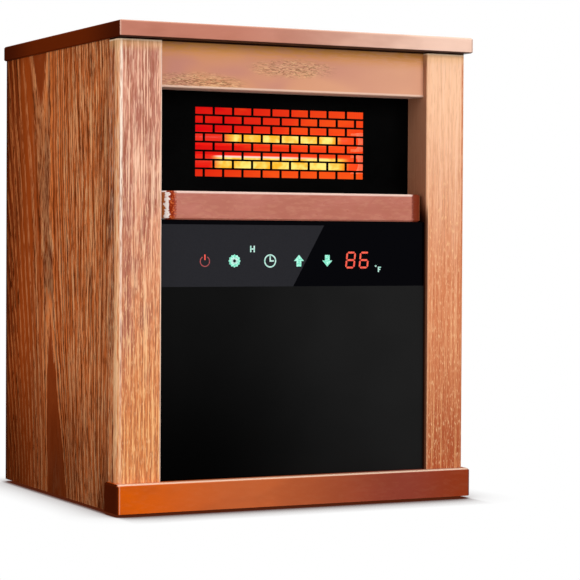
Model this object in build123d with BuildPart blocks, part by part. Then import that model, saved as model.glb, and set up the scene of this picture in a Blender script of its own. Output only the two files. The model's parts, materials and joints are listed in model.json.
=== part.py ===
from build123d import *
from math import cos, radians, sin, tan
import os

# Wooden cabinet heater with a brick-pattern warm-air outlet, in millimetres.
# X runs across the front, the front faces -Y, Z is up, and the floor is at zero.

# Overall sizes
OVERALL_HEIGHT = 402.5
OVERALL_DEPTH = 288.0
CABINET_WIDTH = 326.0

# Cabinet boards
FOOT_REVEAL = 2.5
TOP_THICKNESS = 13.4
TOP_SIDE_OVERHANG = 2.2
TOP_EASE = 2.0
TOP_UNDER_EASE = 1.0
FRONT_OVERHANG = 8.3
SIDE_THICKNESS = 12.0
SIDE_BACK_EASE = 1.0
BASE_THICKNESS = 12.0
PLINTH_HEIGHT = 23.9
PLINTH_SIDE_OVERHANG = 3.2
PLINTH_CORNER = 4.0
PLINTH_EASE = 1.5

# Front frame
STILE_WIDTH = 38.5
STILE_FACE_DEPTH = 20.0
STILE_DEPTH = 33.5
STILE_CORNER = 4.5
STILE_INNER_EASE = 1.2
HEADER_HEIGHT = 38.8
HEADER_RECESS = 7.0
MID_RAIL_HEIGHT = 23.6
MID_RAIL_RECESS = 1.5
MID_RAIL_END_RADIUS = 14.0
RAIL_EASE = 1.2
OUTLET_HEIGHT = 84.9

# Control glass and lower panel, held in grooves of the stiles
GLASS_HEIGHT = 55.5
GLASS_TOP_CLEARANCE = 0.2
PANEL_THICKNESS = 5.0
PANEL_RECESS = 4.0
GROOVE_DEPTH = 5.0
GROOVE_CLEARANCE = 0.15

# Brick-pattern outlet grille
GRILLE_SHEET = 1.5
GRILLE_LAP = 14.0
BRICK_ROWS = 8
BRICK_COLUMNS = 9
BRICK_LENGTH = 16.4
BRICK_HEIGHT = 5.9
BRICK_BAR = 1.6

# Control electronics behind the glass
TRAY_WIDTH = 188.0
TRAY_HEIGHT = 46.0
TRAY_DEPTH = 16.0
TRAY_WALL = 2.0
BOARD_THICKNESS = 1.6
CONTROL_BOARD_WIDTH = 180.0
CONTROL_BOARD_HEIGHT = 36.0
BOARD_TO_GLASS = 7.0
BOARD_HOLE_INSET = 4.0
TOUCH_DROP = 6.3
TOUCH_XS = (-84.0, -57.0, -24.0, 3.0, 30.0)
TOUCH_PAD = 8.0
DISPLAY_X = 59.0
DISPLAY_WIDTH = 34.0
DISPLAY_HEIGHT = 22.0

# Heat duct behind the grille
DUCT_WIDTH = 174.0
DUCT_DEPTH = 60.0
DUCT_SHEET = 1.0
DUCT_MARGIN = 0.5
DUCT_FLANGE = 9.0
DUCT_CLEARANCE = 0.2

# Quartz tubes, their ends and the reflector
TUBE_RADIUS = 6.0
TUBE_WALL = 1.2
TUBE_SETBACK = 20.0
UPPER_TUBE_RISE = 4.0
ELEMENT_WIDTH = 6.0
ELEMENT_THICKNESS = 1.0
TUBE_CLEARANCE = 0.1
CAP_WALL = 2.0
CAP_INSIDE = 4.0
CAP_OUTSIDE = 12.0
CAP_SOCKET = 9.0
CAP_COLLAR = 3.0
CAP_COLLAR_LIP = 1.4
CAP_SPACING = 0.7
TAB_LENGTH = 8.0
TAB_WIDTH = 6.3
TAB_THICKNESS = 0.8
REFLECTOR_SETBACK = 14.0
REFLECTOR_SHEET = 0.8
REFLECTOR_CUSP = 6.0
REFLECTOR_LIP = 8.0

# Ceramic heating block in the air path
PTC_DEPTH = 12.0
PTC_REAR_GAP = 5.0
PTC_CORE_WIDTH = 150.0
PTC_CORE_HEIGHT = 56.0
PTC_SLOT_WIDTH = 5.4
PTC_SLOT_HEIGHT = 23.0
PTC_FIN = 1.8
PTC_BAR = 4.0
PTC_SLOT_COLUMNS = 20
PTC_SLOT_ROWS = 2

# Thermal cut-out on the duct
CUTOUT_WIDTH = 18.0
CUTOUT_DEPTH = 12.0
CUTOUT_HEIGHT = 9.0
CUTOUT_EAR_SPAN = 32.0
CUTOUT_EAR_WIDTH = 9.0
CUTOUT_EAR = 1.2
CUTOUT_TAB_PITCH = 8.0

# Cross-flow blower behind the duct
ROTOR_RADIUS = 32.0
ROTOR_END_GAP = 4.0
ROTOR_SETBACK = 45.0
ROTOR_RISE = 2.0
ROTOR_RIM = 0.5
ROTOR_DISC = 1.5
BLADE_COUNT = 22
BLADE_DEPTH = 8.0
BLADE_SWEEP = 14.0
BLADE_LAG = 1.0
BLADE_THICKNESS = 1.0
HUB_RADIUS = 8.0
HUB_LENGTH = 12.0
SHAFT_RADIUS = 3.0
SHAFT_RUNNING = 0.05
SHAFT_PRESS = 0.02
SHAFT_OUT = 7.0
SHAFT_IN_MOTOR = 20.0
SHAFT_END_ROOM = 1.0
BUSH_SIZE = 12.0
BUSH_FLANGE_SIZE = 18.0
BUSH_FLANGE = 1.5
BUSH_OUT = 9.0
BUSH_IN = 2.0
GUIDE_LIP_GAP = 4.0
GUIDE_LIP_ANGLE = 20.0
TONGUE_STEP = 30.0
TONGUE_NOSE_GAP = 5.0
TONGUE_NOSE_ANGLE = 131.0
TONGUE_TAIL_GAP = 7.0
TONGUE_TAIL_ANGLE = 99.0
TONGUE_RADIUS = 3.0
PLATE_MARGIN = 10.0
PLATE_CORNER = 24.0
MOTOR_PLATE = 3.0
MOTOR_PLATE_WIDTH = 62.0
MOTOR_PLATE_HEIGHT = 26.0
MOTOR_STACK = 18.0
MOTOR_STACK_WIDTH = 50.0
MOTOR_STACK_HEIGHT = 64.0
MOTOR_STACK_DROP = 10.0
MOTOR_WINDOW = 38.0
MOTOR_COIL_WIDTH = 26.0
MOTOR_COIL_HEIGHT = 20.0
MOTOR_COIL_DROP = 24.0
MOTOR_COIL_OUT = 9.0
MOTOR_BEARING = 22.0
MOTOR_BEARING_OUT = 6.0
MOTOR_BOSS_RADIUS = 8.0
MOTOR_BOSS_IN = 1.0
MOTOR_BOSS_CLEARANCE = 0.1

# Sheet-metal stand under duct and blower
STAND_SHEET = 1.5
STAND_LEG_X = 80.0
STAND_FOOT = 16.0
STAND_BEND = 3.0
STAND_DEPTH = 100.0
STAND_FRONT_GAP = 4.0
STAND_WINDOW = 46.0

# Power electronics on the base
POWER_BOARD_WIDTH = 110.0
POWER_BOARD_DEPTH = 70.0
STANDOFF_RADIUS = 3.0
STANDOFF_HEIGHT = 8.0
RELAY_COUNT = 3
RELAY_WIDTH = 15.0
RELAY_LENGTH = 19.0
RELAY_HEIGHT = 16.0
RELAY_PITCH = 24.0
TERMINAL_WIDTH = 44.0
TERMINAL_DEPTH = 16.0
TERMINAL_HEIGHT = 18.0
TERMINAL_WAYS = 4
TERMINAL_PITCH = 10.0
TERMINAL_POCKET = 7.0
TERMINAL_POCKET_DEPTH = 8.0
TERMINAL_REAR_GAP = 40.0

# Tip-over switch in the base
TIP_X = -60.0
TIP_REAR_GAP = 50.0
TIP_BODY_WIDTH = 26.0
TIP_BODY_DEPTH = 18.0
TIP_FLOOR = 3.0
TIP_ROOF = 2.5
TIP_CAVITY = 13.0
TIP_SPRING_ROOM = 8.0
PLUNGER_SIZE = 7.0
PLUNGER_GUIDE = 0.08
PLUNGER_HOLE = 0.6
PLUNGER_COLLAR_SIZE = 12.0
PLUNGER_COLLAR = 3.0
PLUNGER_DROP = 6.0
PLUNGER_PUSH = 1.5
PLUNGER_STOP_GAP = 0.4
PLUNGER_TIP_EASE = 1.0

# Rear panel and what it carries
REAR_INSET = 14.0
REAR_SHEET = 1.2
CLEAT = 12.0
INTAKE_DROP = 50.0
INTAKE_SLOT_LENGTH = 56.0
INTAKE_SLOT_HEIGHT = 4.5
INTAKE_SLOT_PITCH_X = 64.0
INTAKE_SLOT_PITCH_Z = 9.6
INTAKE_COLUMNS = 3
INTAKE_ROWS = 12

# Washable filter that pulls off the back
FILTER_WIDTH = 216.0
FILTER_HEIGHT = 140.0
FILTER_DEPTH = 8.0
FILTER_GAP = 0.3
FILTER_CORNER = 6.0
FILTER_RIM = 9.0
FILTER_RIB = 3.0
FILTER_COLUMNS = 6
FILTER_ROWS = 4
MESH_LAP = 3.0
MESH_THICKNESS = 0.8
MESH_CLEARANCE = 0.1
CLIP_WIDTH = 10.0
CLIP_THICKNESS = 2.4
CLIP_LENGTH = 5.0
CLIP_INSET = 3.0
CLIP_PITCH = 90.0
CLIP_CLEARANCE = 0.4
GRIP_WIDTH = 46.0
GRIP_THICKNESS = 3.0
GRIP_HEIGHT = 4.0

# Rear power rocker
ROCKER_X = 38.0
ROCKER_RISE = 34.0
ROCKER_WIDTH = 14.0
ROCKER_LENGTH = 22.0
ROCKER_TILT = 8.0
ROCKER_VALLEY = 2.5
ROCKER_SKIRT = 4.0
ROCKER_SKIRT_INSET = 3.0
ROCKER_SIDE_GAP = 0.3
ROCKER_END_GAP = 1.2
ROCKER_PIN_RADIUS = 1.5
ROCKER_PIN_LENGTH = 1.0
ROCKER_PIN_RUNNING = 0.05
ROCKER_PIVOT_DEPTH = 3.5
BEZEL_WIDTH = 21.0
BEZEL_HEIGHT = 31.0
BEZEL_THICKNESS = 2.5
BEZEL_CORNER = 2.0
SWITCH_WIDTH = 18.0
SWITCH_HEIGHT = 28.0
SWITCH_DEPTH = 20.0
SWITCH_CAVITY = 12.0
SWITCH_CLEARANCE = 0.2

# Cord gland in the rear panel
GLAND_X = 86.0
GLAND_BORE_RADIUS = 4.0
GLAND_THREAD_RADIUS = 7.5
GLAND_THREAD_LENGTH = 9.0
GLAND_HOLE_CLEARANCE = 0.2
GLAND_FLANGE_RADIUS = 11.0
GLAND_FLANGE = 3.0
GLAND_NOSE_RADIUS = 8.5
GLAND_NOSE_LENGTH = 9.0
GLAND_NOSE_EASE = 1.5
LOCKNUT_RADIUS = 11.5
LOCKNUT_THICKNESS = 4.0
LOCKNUT_CLEARANCE = 0.05

# Feet
FOOT_INSET = 24.0
FOOT_SIZE = 26.0
FOOT_CORNER = 4.0
FOOT_EASE = 3.0

# Levels and planes worked out from the sizes above
SIDES = (("left", -1), ("right", 1))
SIDE_X = CABINET_WIDTH / 2
INNER_X = SIDE_X - SIDE_THICKNESS
OPENING_X = SIDE_X - STILE_WIDTH
DUCT_X = DUCT_WIDTH / 2
DUCT_OUTER_X = DUCT_X + DUCT_SHEET
CAP_SIZE = 2 * (TUBE_RADIUS + CAP_WALL)
CAP_COLLAR_SIZE = CAP_SIZE + 2 * CAP_COLLAR_LIP

BACK_Y = OVERALL_DEPTH / 2
STILE_Y = FRONT_OVERHANG - OVERALL_DEPTH / 2
SEAM_Y = STILE_Y + STILE_FACE_DEPTH
GRILLE_Y = STILE_Y + STILE_DEPTH
GRILLE_BACK_Y = GRILLE_Y + GRILLE_SHEET
PANEL_Y = STILE_Y + PANEL_RECESS
GLASS_BACK_Y = PANEL_Y + PANEL_THICKNESS
TUBE_Y = GRILLE_BACK_Y + TUBE_SETBACK
DUCT_REAR_Y = GRILLE_BACK_Y + DUCT_DEPTH
ROTOR_Y = DUCT_REAR_Y + ROTOR_SETBACK
REAR_Y = BACK_Y - REAR_INSET
REAR_INNER_Y = REAR_Y - REAR_SHEET

PLINTH_TOP_Z = FOOT_REVEAL + PLINTH_HEIGHT
BASE_UNDER_Z = PLINTH_TOP_Z - BASE_THICKNESS
TOP_UNDER_Z = OVERALL_HEIGHT - TOP_THICKNESS
HEADER_Z = TOP_UNDER_Z - HEADER_HEIGHT
OUTLET_Z = HEADER_Z - OUTLET_HEIGHT / 2
MID_RAIL_TOP_Z = HEADER_Z - OUTLET_HEIGHT
MID_RAIL_Z = MID_RAIL_TOP_Z - MID_RAIL_HEIGHT
GLASS_Z = MID_RAIL_Z - GLASS_HEIGHT
GLASS_MID_Z = GLASS_Z + GLASS_HEIGHT / 2
TOUCH_Z = GLASS_MID_Z - TOUCH_DROP
DUCT_HEIGHT = OUTLET_HEIGHT - 2 * DUCT_MARGIN
DUCT_UNDER_Z = OUTLET_Z - DUCT_HEIGHT / 2 - DUCT_SHEET
ROTOR_Z = OUTLET_Z + ROTOR_RISE
INTAKE_Z = OUTLET_Z - INTAKE_DROP
ROCKER_Z = PLINTH_TOP_Z + ROCKER_RISE

CLEAT_X = INNER_X - CLEAT / 2
BRICK_PITCH = BRICK_LENGTH + BRICK_BAR
ROW_PITCH = BRICK_HEIGHT + BRICK_BAR
HALF_BRICK = BRICK_PITCH / 2 - BRICK_BAR
FIELD_WIDTH = BRICK_COLUMNS * BRICK_PITCH - BRICK_BAR
FIELD_HEIGHT = BRICK_ROWS * ROW_PITCH - BRICK_BAR

foot_points = [
    (side * (INNER_X - FOOT_INSET), y)
    for _, side in SIDES
    for y in (SEAM_Y + FOOT_INSET, REAR_INNER_Y - FOOT_INSET)
]
stand_y = GRILLE_BACK_Y + STAND_FRONT_GAP + STAND_DEPTH / 2
tip_point = (TIP_X, REAR_INNER_Y - TIP_REAR_GAP)
tube_points = {
    "upper": (TUBE_Y, OUTLET_Z + UPPER_TUBE_RISE),
    "lower": (TUBE_Y, OUTLET_Z + UPPER_TUBE_RISE - CAP_COLLAR_SIZE - CAP_SPACING),
}

pieces = {}


def facing_front(y):
    """Upright plane at depth y, X across and Z up; extrusions from it run to the front."""
    return Plane.XZ.offset(-y)


def across(x, y, z):
    """Plane square to X through a point, Y to its right and Z up; extrusions run to +X."""
    return Plane(origin=(x, y, z), x_dir=(0, 1, 0), z_dir=(1, 0, 0))


def around_rotor(radius, angle):
    """Point (Y, Z) at a radius and angle about the rotor's axis."""
    return (ROTOR_Y + radius * cos(radians(angle)), ROTOR_Z + radius * sin(radians(angle)))


# Top board
with BuildPart() as top_panel:
    with BuildSketch(Plane.XY.offset(TOP_UNDER_Z)):
        Rectangle(CABINET_WIDTH + 2 * TOP_SIDE_OVERHANG, OVERALL_DEPTH)
    extrude(amount=TOP_THICKNESS)
    fillet(top_panel.edges().group_by(Axis.Z)[-1], TOP_EASE)
    chamfer(top_panel.edges().group_by(Axis.Z)[0], TOP_UNDER_EASE)
pieces["top_panel"] = top_panel

# Side boards, from the seam behind the stile to the back
for name, side in SIDES:
    with BuildPart() as side_panel:
        with BuildSketch(Plane.XY.offset(FOOT_REVEAL)):
            with Locations((side * (SIDE_X + INNER_X) / 2, (SEAM_Y + BACK_Y) / 2)):
                Rectangle(SIDE_THICKNESS, BACK_Y - SEAM_Y)
        extrude(amount=TOP_UNDER_Z - FOOT_REVEAL)
        fillet(side_panel.edges().filter_by(Axis.Z).group_by(Axis.Y)[-1], SIDE_BACK_EASE)
    pieces[f"{name}_side_panel"] = side_panel

# Front posts: a rounded face and an inner leg that reaches back to the grille
for name, side in SIDES:
    with BuildPart() as stile:
        with BuildSketch(Plane.XY.offset(PLINTH_TOP_Z)) as post:
            with BuildLine():
                Polyline(
                    (side * OPENING_X, STILE_Y),
                    (side * SIDE_X, STILE_Y),
                    (side * SIDE_X, SEAM_Y),
                    (side * INNER_X, SEAM_Y),
                    (side * INNER_X, GRILLE_Y),
                    (side * OPENING_X, GRILLE_Y),
                    close=True,
                )
            make_face()
            fillet(post.vertices().sort_by_distance((side * SIDE_X, STILE_Y))[0], STILE_CORNER)
            fillet(post.vertices().sort_by_distance((side * OPENING_X, STILE_Y))[0], STILE_INNER_EASE)
        extrude(amount=TOP_UNDER_Z - PLINTH_TOP_Z)
        with BuildSketch(Plane.XY.offset(PLINTH_TOP_Z)):
            with Locations((side * (OPENING_X + GROOVE_DEPTH / 2), (PANEL_Y + GLASS_BACK_Y) / 2)):
                Rectangle(GROOVE_DEPTH, PANEL_THICKNESS + 2 * GROOVE_CLEARANCE)
        extrude(amount=MID_RAIL_Z - PLINTH_TOP_Z, mode=Mode.SUBTRACT)
    pieces[f"{name}_stile"] = stile

# Header above the outlet
with BuildPart() as header_rail:
    with BuildSketch(facing_front(GRILLE_Y)):
        with Locations((0, (HEADER_Z + TOP_UNDER_Z) / 2)):
            Rectangle(2 * OPENING_X, HEADER_HEIGHT)
    extrude(amount=STILE_DEPTH - HEADER_RECESS)
    front_edges = header_rail.faces().sort_by(Axis.Y)[0].edges()
    fillet(front_edges.filter_by(Axis.X).sort_by(Axis.Z)[0], RAIL_EASE)
pieces["header_rail"] = header_rail

# Rail between the outlet and the control glass, with rounded ends
with BuildPart() as mid_rail:
    with BuildSketch(Plane.XY.offset(MID_RAIL_Z)) as rail_plan:
        with Locations((0, (STILE_Y + MID_RAIL_RECESS + GRILLE_Y) / 2)):
            Rectangle(2 * OPENING_X, STILE_DEPTH - MID_RAIL_RECESS)
        fillet(rail_plan.vertices().group_by(Axis.Y)[0], MID_RAIL_END_RADIUS)
    extrude(amount=MID_RAIL_HEIGHT)
    for level in (0, -1):
        rim = mid_rail.faces().sort_by(Axis.Z)[level].edges()
        chamfer(rim.sort_by(Axis.Y)[:-1], RAIL_EASE)
pieces["mid_rail"] = mid_rail

# Plinth across the foot of the front
with BuildPart() as plinth_rail:
    with BuildSketch(Plane.XY.offset(FOOT_REVEAL)) as plinth_plan:
        with Locations((0, (SEAM_Y - BACK_Y) / 2)):
            Rectangle(CABINET_WIDTH + 2 * PLINTH_SIDE_OVERHANG, SEAM_Y + BACK_Y)
        fillet(plinth_plan.vertices().group_by(Axis.Y)[0], PLINTH_CORNER)
    extrude(amount=PLINTH_HEIGHT)
    rim = plinth_rail.faces().sort_by(Axis.Z)[-1].edges()
    chamfer(rim.sort_by(Axis.Y)[:-1], PLINTH_EASE)
pieces["plinth_rail"] = plinth_rail

# Base board, with a hole for the tip-over plunger
with BuildPart() as base_panel:
    with BuildSketch(Plane.XY.offset(BASE_UNDER_Z)):
        with Locations((0, (SEAM_Y + REAR_INNER_Y) / 2)):
            Rectangle(2 * INNER_X, REAR_INNER_Y - SEAM_Y)
        with Locations(tip_point):
            Rectangle(PLUNGER_SIZE + 2 * PLUNGER_HOLE, PLUNGER_SIZE + 2 * PLUNGER_HOLE, mode=Mode.SUBTRACT)
    extrude(amount=BASE_THICKNESS)
pieces["base_panel"] = base_panel

# Rubber feet under the base: pads with bevelled edges
with BuildPart() as rubber_feet:
    with BuildSketch(Plane.XY.offset(BASE_UNDER_Z)) as foot_plan:
        with Locations(*foot_points):
            Rectangle(FOOT_SIZE, FOOT_SIZE)
        chamfer(foot_plan.vertices(), FOOT_CORNER)
    extrude(amount=-BASE_UNDER_Z)
    chamfer(rubber_feet.edges().group_by(Axis.Z)[0], FOOT_EASE)
pieces["rubber_feet"] = rubber_feet

# Gloss panels in the stile grooves: the lower panel on the plinth, the control glass on its top edge
panel_width = 2 * (OPENING_X + GROOVE_DEPTH - GROOVE_CLEARANCE)
for name, low, high in (
    ("lower_front_panel", PLINTH_TOP_Z, GLASS_Z),
    ("control_glass", GLASS_Z, MID_RAIL_Z - GLASS_TOP_CLEARANCE),
):
    with BuildPart() as front_panel:
        with BuildSketch(facing_front(GLASS_BACK_Y)):
            with Locations((0, (low + high) / 2)):
                Rectangle(panel_width, high - low)
        extrude(amount=PANEL_THICKNESS)
    pieces[name] = front_panel

# Outlet grille: a black plate pierced with a running bond of brick openings
with BuildPart() as outlet_grille:
    with BuildSketch(facing_front(GRILLE_BACK_Y)):
        with Locations((0, OUTLET_Z)):
            Rectangle(2 * (OPENING_X + GRILLE_LAP), OUTLET_HEIGHT + 2 * GRILLE_LAP)
        for row in range(BRICK_ROWS):
            half_lap = row % 2
            with Locations((0, OUTLET_Z + (FIELD_HEIGHT - BRICK_HEIGHT) / 2 - row * ROW_PITCH)):
                with GridLocations(BRICK_PITCH, ROW_PITCH, BRICK_COLUMNS - half_lap, 1):
                    Rectangle(BRICK_LENGTH, BRICK_HEIGHT, mode=Mode.SUBTRACT)
                if half_lap:
                    with GridLocations(FIELD_WIDTH - HALF_BRICK, ROW_PITCH, 2, 1):
                        Rectangle(HALF_BRICK, BRICK_HEIGHT, mode=Mode.SUBTRACT)
    extrude(amount=GRILLE_SHEET)
pieces["outlet_grille"] = outlet_grille

# Tray, board, display and touch pads behind the control glass
tray_back_y = GLASS_BACK_Y + TRAY_DEPTH
board_y = GLASS_BACK_Y + BOARD_TO_GLASS
with BuildPart() as control_tray:
    with BuildSketch(facing_front(tray_back_y)):
        with Locations((0, GLASS_MID_Z)):
            Rectangle(TRAY_WIDTH, TRAY_HEIGHT)
    extrude(amount=TRAY_DEPTH)
    offset(amount=-TRAY_WALL, openings=control_tray.faces().sort_by(Axis.Y)[0])
    with BuildSketch(facing_front(tray_back_y - TRAY_WALL)):
        with Locations((0, GLASS_MID_Z)):
            with GridLocations(CONTROL_BOARD_WIDTH - 2 * BOARD_HOLE_INSET, CONTROL_BOARD_HEIGHT, 2, 1):
                Rectangle(TRAY_WALL, CONTROL_BOARD_HEIGHT)
    extrude(amount=TRAY_DEPTH - TRAY_WALL - BOARD_TO_GLASS - BOARD_THICKNESS)
pieces["control_tray"] = control_tray

with BuildPart() as control_board:
    with BuildSketch(facing_front(board_y + BOARD_THICKNESS)):
        with Locations((0, GLASS_MID_Z)):
            Rectangle(CONTROL_BOARD_WIDTH, CONTROL_BOARD_HEIGHT)
    extrude(amount=BOARD_THICKNESS)
pieces["control_board"] = control_board

with BuildPart() as display_module:
    with BuildSketch(facing_front(board_y)):
        with Locations((DISPLAY_X, TOUCH_Z)):
            Rectangle(DISPLAY_WIDTH, DISPLAY_HEIGHT)
    extrude(amount=BOARD_TO_GLASS)
pieces["display_module"] = display_module

with BuildPart() as touch_pads:
    with BuildSketch(facing_front(board_y)):
        with Locations(*[(x, TOUCH_Z) for x in TOUCH_XS]):
            Rectangle(TOUCH_PAD, TOUCH_PAD)
    extrude(amount=BOARD_TO_GLASS)
pieces["touch_pads"] = touch_pads

# Heat duct: a flanged sleeve behind the grille, pierced for the tube ends
with BuildPart() as heat_duct:
    with BuildSketch(facing_front(DUCT_REAR_Y)):
        with Locations((0, OUTLET_Z)):
            Rectangle(DUCT_WIDTH + 2 * DUCT_SHEET, DUCT_HEIGHT + 2 * DUCT_SHEET)
            Rectangle(DUCT_WIDTH, DUCT_HEIGHT, mode=Mode.SUBTRACT)
    extrude(amount=DUCT_DEPTH)
    with BuildSketch(facing_front(GRILLE_BACK_Y + DUCT_SHEET)):
        with Locations((0, OUTLET_Z)):
            Rectangle(DUCT_WIDTH + 2 * DUCT_FLANGE, DUCT_HEIGHT + 2 * DUCT_FLANGE)
            Rectangle(DUCT_WIDTH, DUCT_HEIGHT, mode=Mode.SUBTRACT)
    extrude(amount=DUCT_SHEET)
    with BuildSketch(Plane.YZ):
        with Locations(*tube_points.values()):
            Rectangle(CAP_SIZE + 2 * TUBE_CLEARANCE, CAP_SIZE + 2 * TUBE_CLEARANCE)
    extrude(amount=DUCT_OUTER_X, both=True, mode=Mode.SUBTRACT)
pieces["heat_duct"] = heat_duct

# Quartz tubes, the ribbon elements in them, and their ceramic end blocks with terminal tabs
cap_inner_x = DUCT_X - CAP_INSIDE
cap_outer_x = DUCT_OUTER_X + CAP_OUTSIDE
tube_end_x = cap_inner_x + CAP_SOCKET
for level, point in tube_points.items():
    with BuildPart() as quartz_tube:
        with BuildSketch(Plane.YZ):
            with Locations(point):
                Circle(TUBE_RADIUS)
                Circle(TUBE_RADIUS - TUBE_WALL, mode=Mode.SUBTRACT)
        extrude(amount=tube_end_x, both=True)
    pieces[f"{level}_quartz_tube"] = quartz_tube

with BuildPart() as heating_elements:
    with BuildSketch(Plane.YZ):
        with Locations(*tube_points.values()):
            Rectangle(ELEMENT_THICKNESS, ELEMENT_WIDTH)
    extrude(amount=tube_end_x, both=True)
pieces["heating_elements"] = heating_elements

with BuildPart() as tube_end_caps:
    for _, side in SIDES:
        with BuildSketch(Plane.YZ.offset(side * cap_inner_x)):
            with Locations(*tube_points.values()):
                Rectangle(CAP_SIZE, CAP_SIZE)
        extrude(amount=side * (cap_outer_x - cap_inner_x))
        with BuildSketch(Plane.YZ.offset(side * DUCT_OUTER_X)):
            with Locations(*tube_points.values()):
                Rectangle(CAP_COLLAR_SIZE, CAP_COLLAR_SIZE)
        extrude(amount=side * CAP_COLLAR)
        with BuildSketch(Plane.YZ.offset(side * cap_inner_x)):
            with Locations(*tube_points.values()):
                Circle(TUBE_RADIUS + TUBE_CLEARANCE)
        extrude(amount=side * CAP_SOCKET, mode=Mode.SUBTRACT)
pieces["tube_end_caps"] = tube_end_caps

with BuildPart() as tube_terminals:
    for _, side in SIDES:
        with BuildSketch(Plane.YZ.offset(side * cap_outer_x)):
            with Locations(*tube_points.values()):
                Rectangle(TAB_WIDTH, TAB_THICKNESS)
        extrude(amount=side * TAB_LENGTH)
pieces["tube_terminals"] = tube_terminals

# Reflector: one bright sheet with a trough behind each tube and a lip along each edge
reflector_y = TUBE_Y + REFLECTOR_SETBACK
cusp_y = reflector_y - REFLECTOR_CUSP
upper_z = tube_points["upper"][1]
lower_z = tube_points["lower"][1]
trough = (upper_z - lower_z) / 2
lip_z = DUCT_HEIGHT / 2 - REFLECTOR_LIP
with BuildPart() as reflector:
    with BuildSketch(Plane.YZ):
        with BuildLine():
            Line((cusp_y - REFLECTOR_LIP, OUTLET_Z + lip_z), (cusp_y, upper_z + trough))
            ThreePointArc((cusp_y, upper_z + trough), (reflector_y, upper_z), (cusp_y, upper_z - trough))
            ThreePointArc((cusp_y, lower_z + trough), (reflector_y, lower_z), (cusp_y, lower_z - trough))
            Line((cusp_y, lower_z - trough), (cusp_y - REFLECTOR_LIP, OUTLET_Z - lip_z))
            offset(amount=REFLECTOR_SHEET, side=Side.LEFT, kind=Kind.INTERSECTION)
        make_face()
    extrude(amount=DUCT_X - DUCT_CLEARANCE, both=True)
pieces["reflector"] = reflector

# Ceramic heating block: a finned core in a frame that fills the duct
ptc_front_y = DUCT_REAR_Y - PTC_REAR_GAP - PTC_DEPTH
with BuildPart() as ptc_frame:
    with BuildSketch(facing_front(ptc_front_y + PTC_DEPTH)):
        with Locations((0, OUTLET_Z)):
            Rectangle(DUCT_WIDTH - 2 * DUCT_CLEARANCE, DUCT_HEIGHT - 2 * DUCT_CLEARANCE)
            Rectangle(PTC_CORE_WIDTH, PTC_CORE_HEIGHT, mode=Mode.SUBTRACT)
    extrude(amount=PTC_DEPTH)
pieces["ptc_frame"] = ptc_frame

with BuildPart() as ptc_core:
    with BuildSketch(facing_front(ptc_front_y + PTC_DEPTH)):
        with Locations((0, OUTLET_Z)):
            Rectangle(PTC_CORE_WIDTH, PTC_CORE_HEIGHT)
            with GridLocations(
                PTC_SLOT_WIDTH + PTC_FIN, PTC_SLOT_HEIGHT + PTC_BAR, PTC_SLOT_COLUMNS, PTC_SLOT_ROWS
            ):
                Rectangle(PTC_SLOT_WIDTH, PTC_SLOT_HEIGHT, mode=Mode.SUBTRACT)
    extrude(amount=PTC_DEPTH)
pieces["ptc_core"] = ptc_core

# Thermal cut-out with its ears and tabs, on the roof of the duct
cutout_point = (0, (GRILLE_BACK_Y + DUCT_REAR_Y) / 2)
duct_roof_z = OUTLET_Z + DUCT_HEIGHT / 2 + DUCT_SHEET
with BuildPart() as thermal_cutout:
    with BuildSketch(Plane.XY.offset(duct_roof_z)):
        with Locations(cutout_point):
            Rectangle(CUTOUT_EAR_SPAN, CUTOUT_EAR_WIDTH)
    extrude(amount=CUTOUT_EAR)
    with BuildSketch(Plane.XY.offset(duct_roof_z)):
        with Locations(cutout_point):
            Rectangle(CUTOUT_WIDTH, CUTOUT_DEPTH)
    extrude(amount=CUTOUT_HEIGHT)
    with BuildSketch(Plane.XY.offset(duct_roof_z + CUTOUT_HEIGHT)):
        with Locations(cutout_point):
            with GridLocations(CUTOUT_TAB_PITCH, CUTOUT_TAB_PITCH, 2, 1):
                Rectangle(TAB_THICKNESS, TAB_WIDTH)
    extrude(amount=TAB_LENGTH)
pieces["thermal_cutout"] = thermal_cutout

# Blower casing: a guide wall that wraps the rotor, a folded tongue, and two end plates
wall_z = DUCT_HEIGHT / 2
with BuildPart() as blower_guide_wall:
    with BuildSketch(Plane.YZ):
        with BuildLine():
            floor = Line((DUCT_REAR_Y, OUTLET_Z - wall_z), (ROTOR_Y, OUTLET_Z - wall_z))
            guide_lip = around_rotor(ROTOR_RADIUS + GUIDE_LIP_GAP, GUIDE_LIP_ANGLE)
            TangentArc(floor @ 1, guide_lip, tangent=floor % 1)
            offset(amount=DUCT_SHEET, side=Side.RIGHT, kind=Kind.INTERSECTION)
        make_face()
    extrude(amount=DUCT_X, both=True)
pieces["blower_guide_wall"] = blower_guide_wall

with BuildPart() as blower_tongue:
    with BuildSketch(Plane.YZ):
        with BuildLine():
            FilletPolyline(
                (DUCT_REAR_Y, OUTLET_Z + wall_z),
                (ROTOR_Y - TONGUE_STEP, OUTLET_Z + wall_z),
                around_rotor(ROTOR_RADIUS + TONGUE_NOSE_GAP, TONGUE_NOSE_ANGLE),
                around_rotor(ROTOR_RADIUS + TONGUE_TAIL_GAP, TONGUE_TAIL_ANGLE),
                radius=TONGUE_RADIUS,
            )
            offset(amount=DUCT_SHEET, side=Side.LEFT, kind=Kind.INTERSECTION)
        make_face()
    extrude(amount=DUCT_X, both=True)
pieces["blower_tongue"] = blower_tongue

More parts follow.
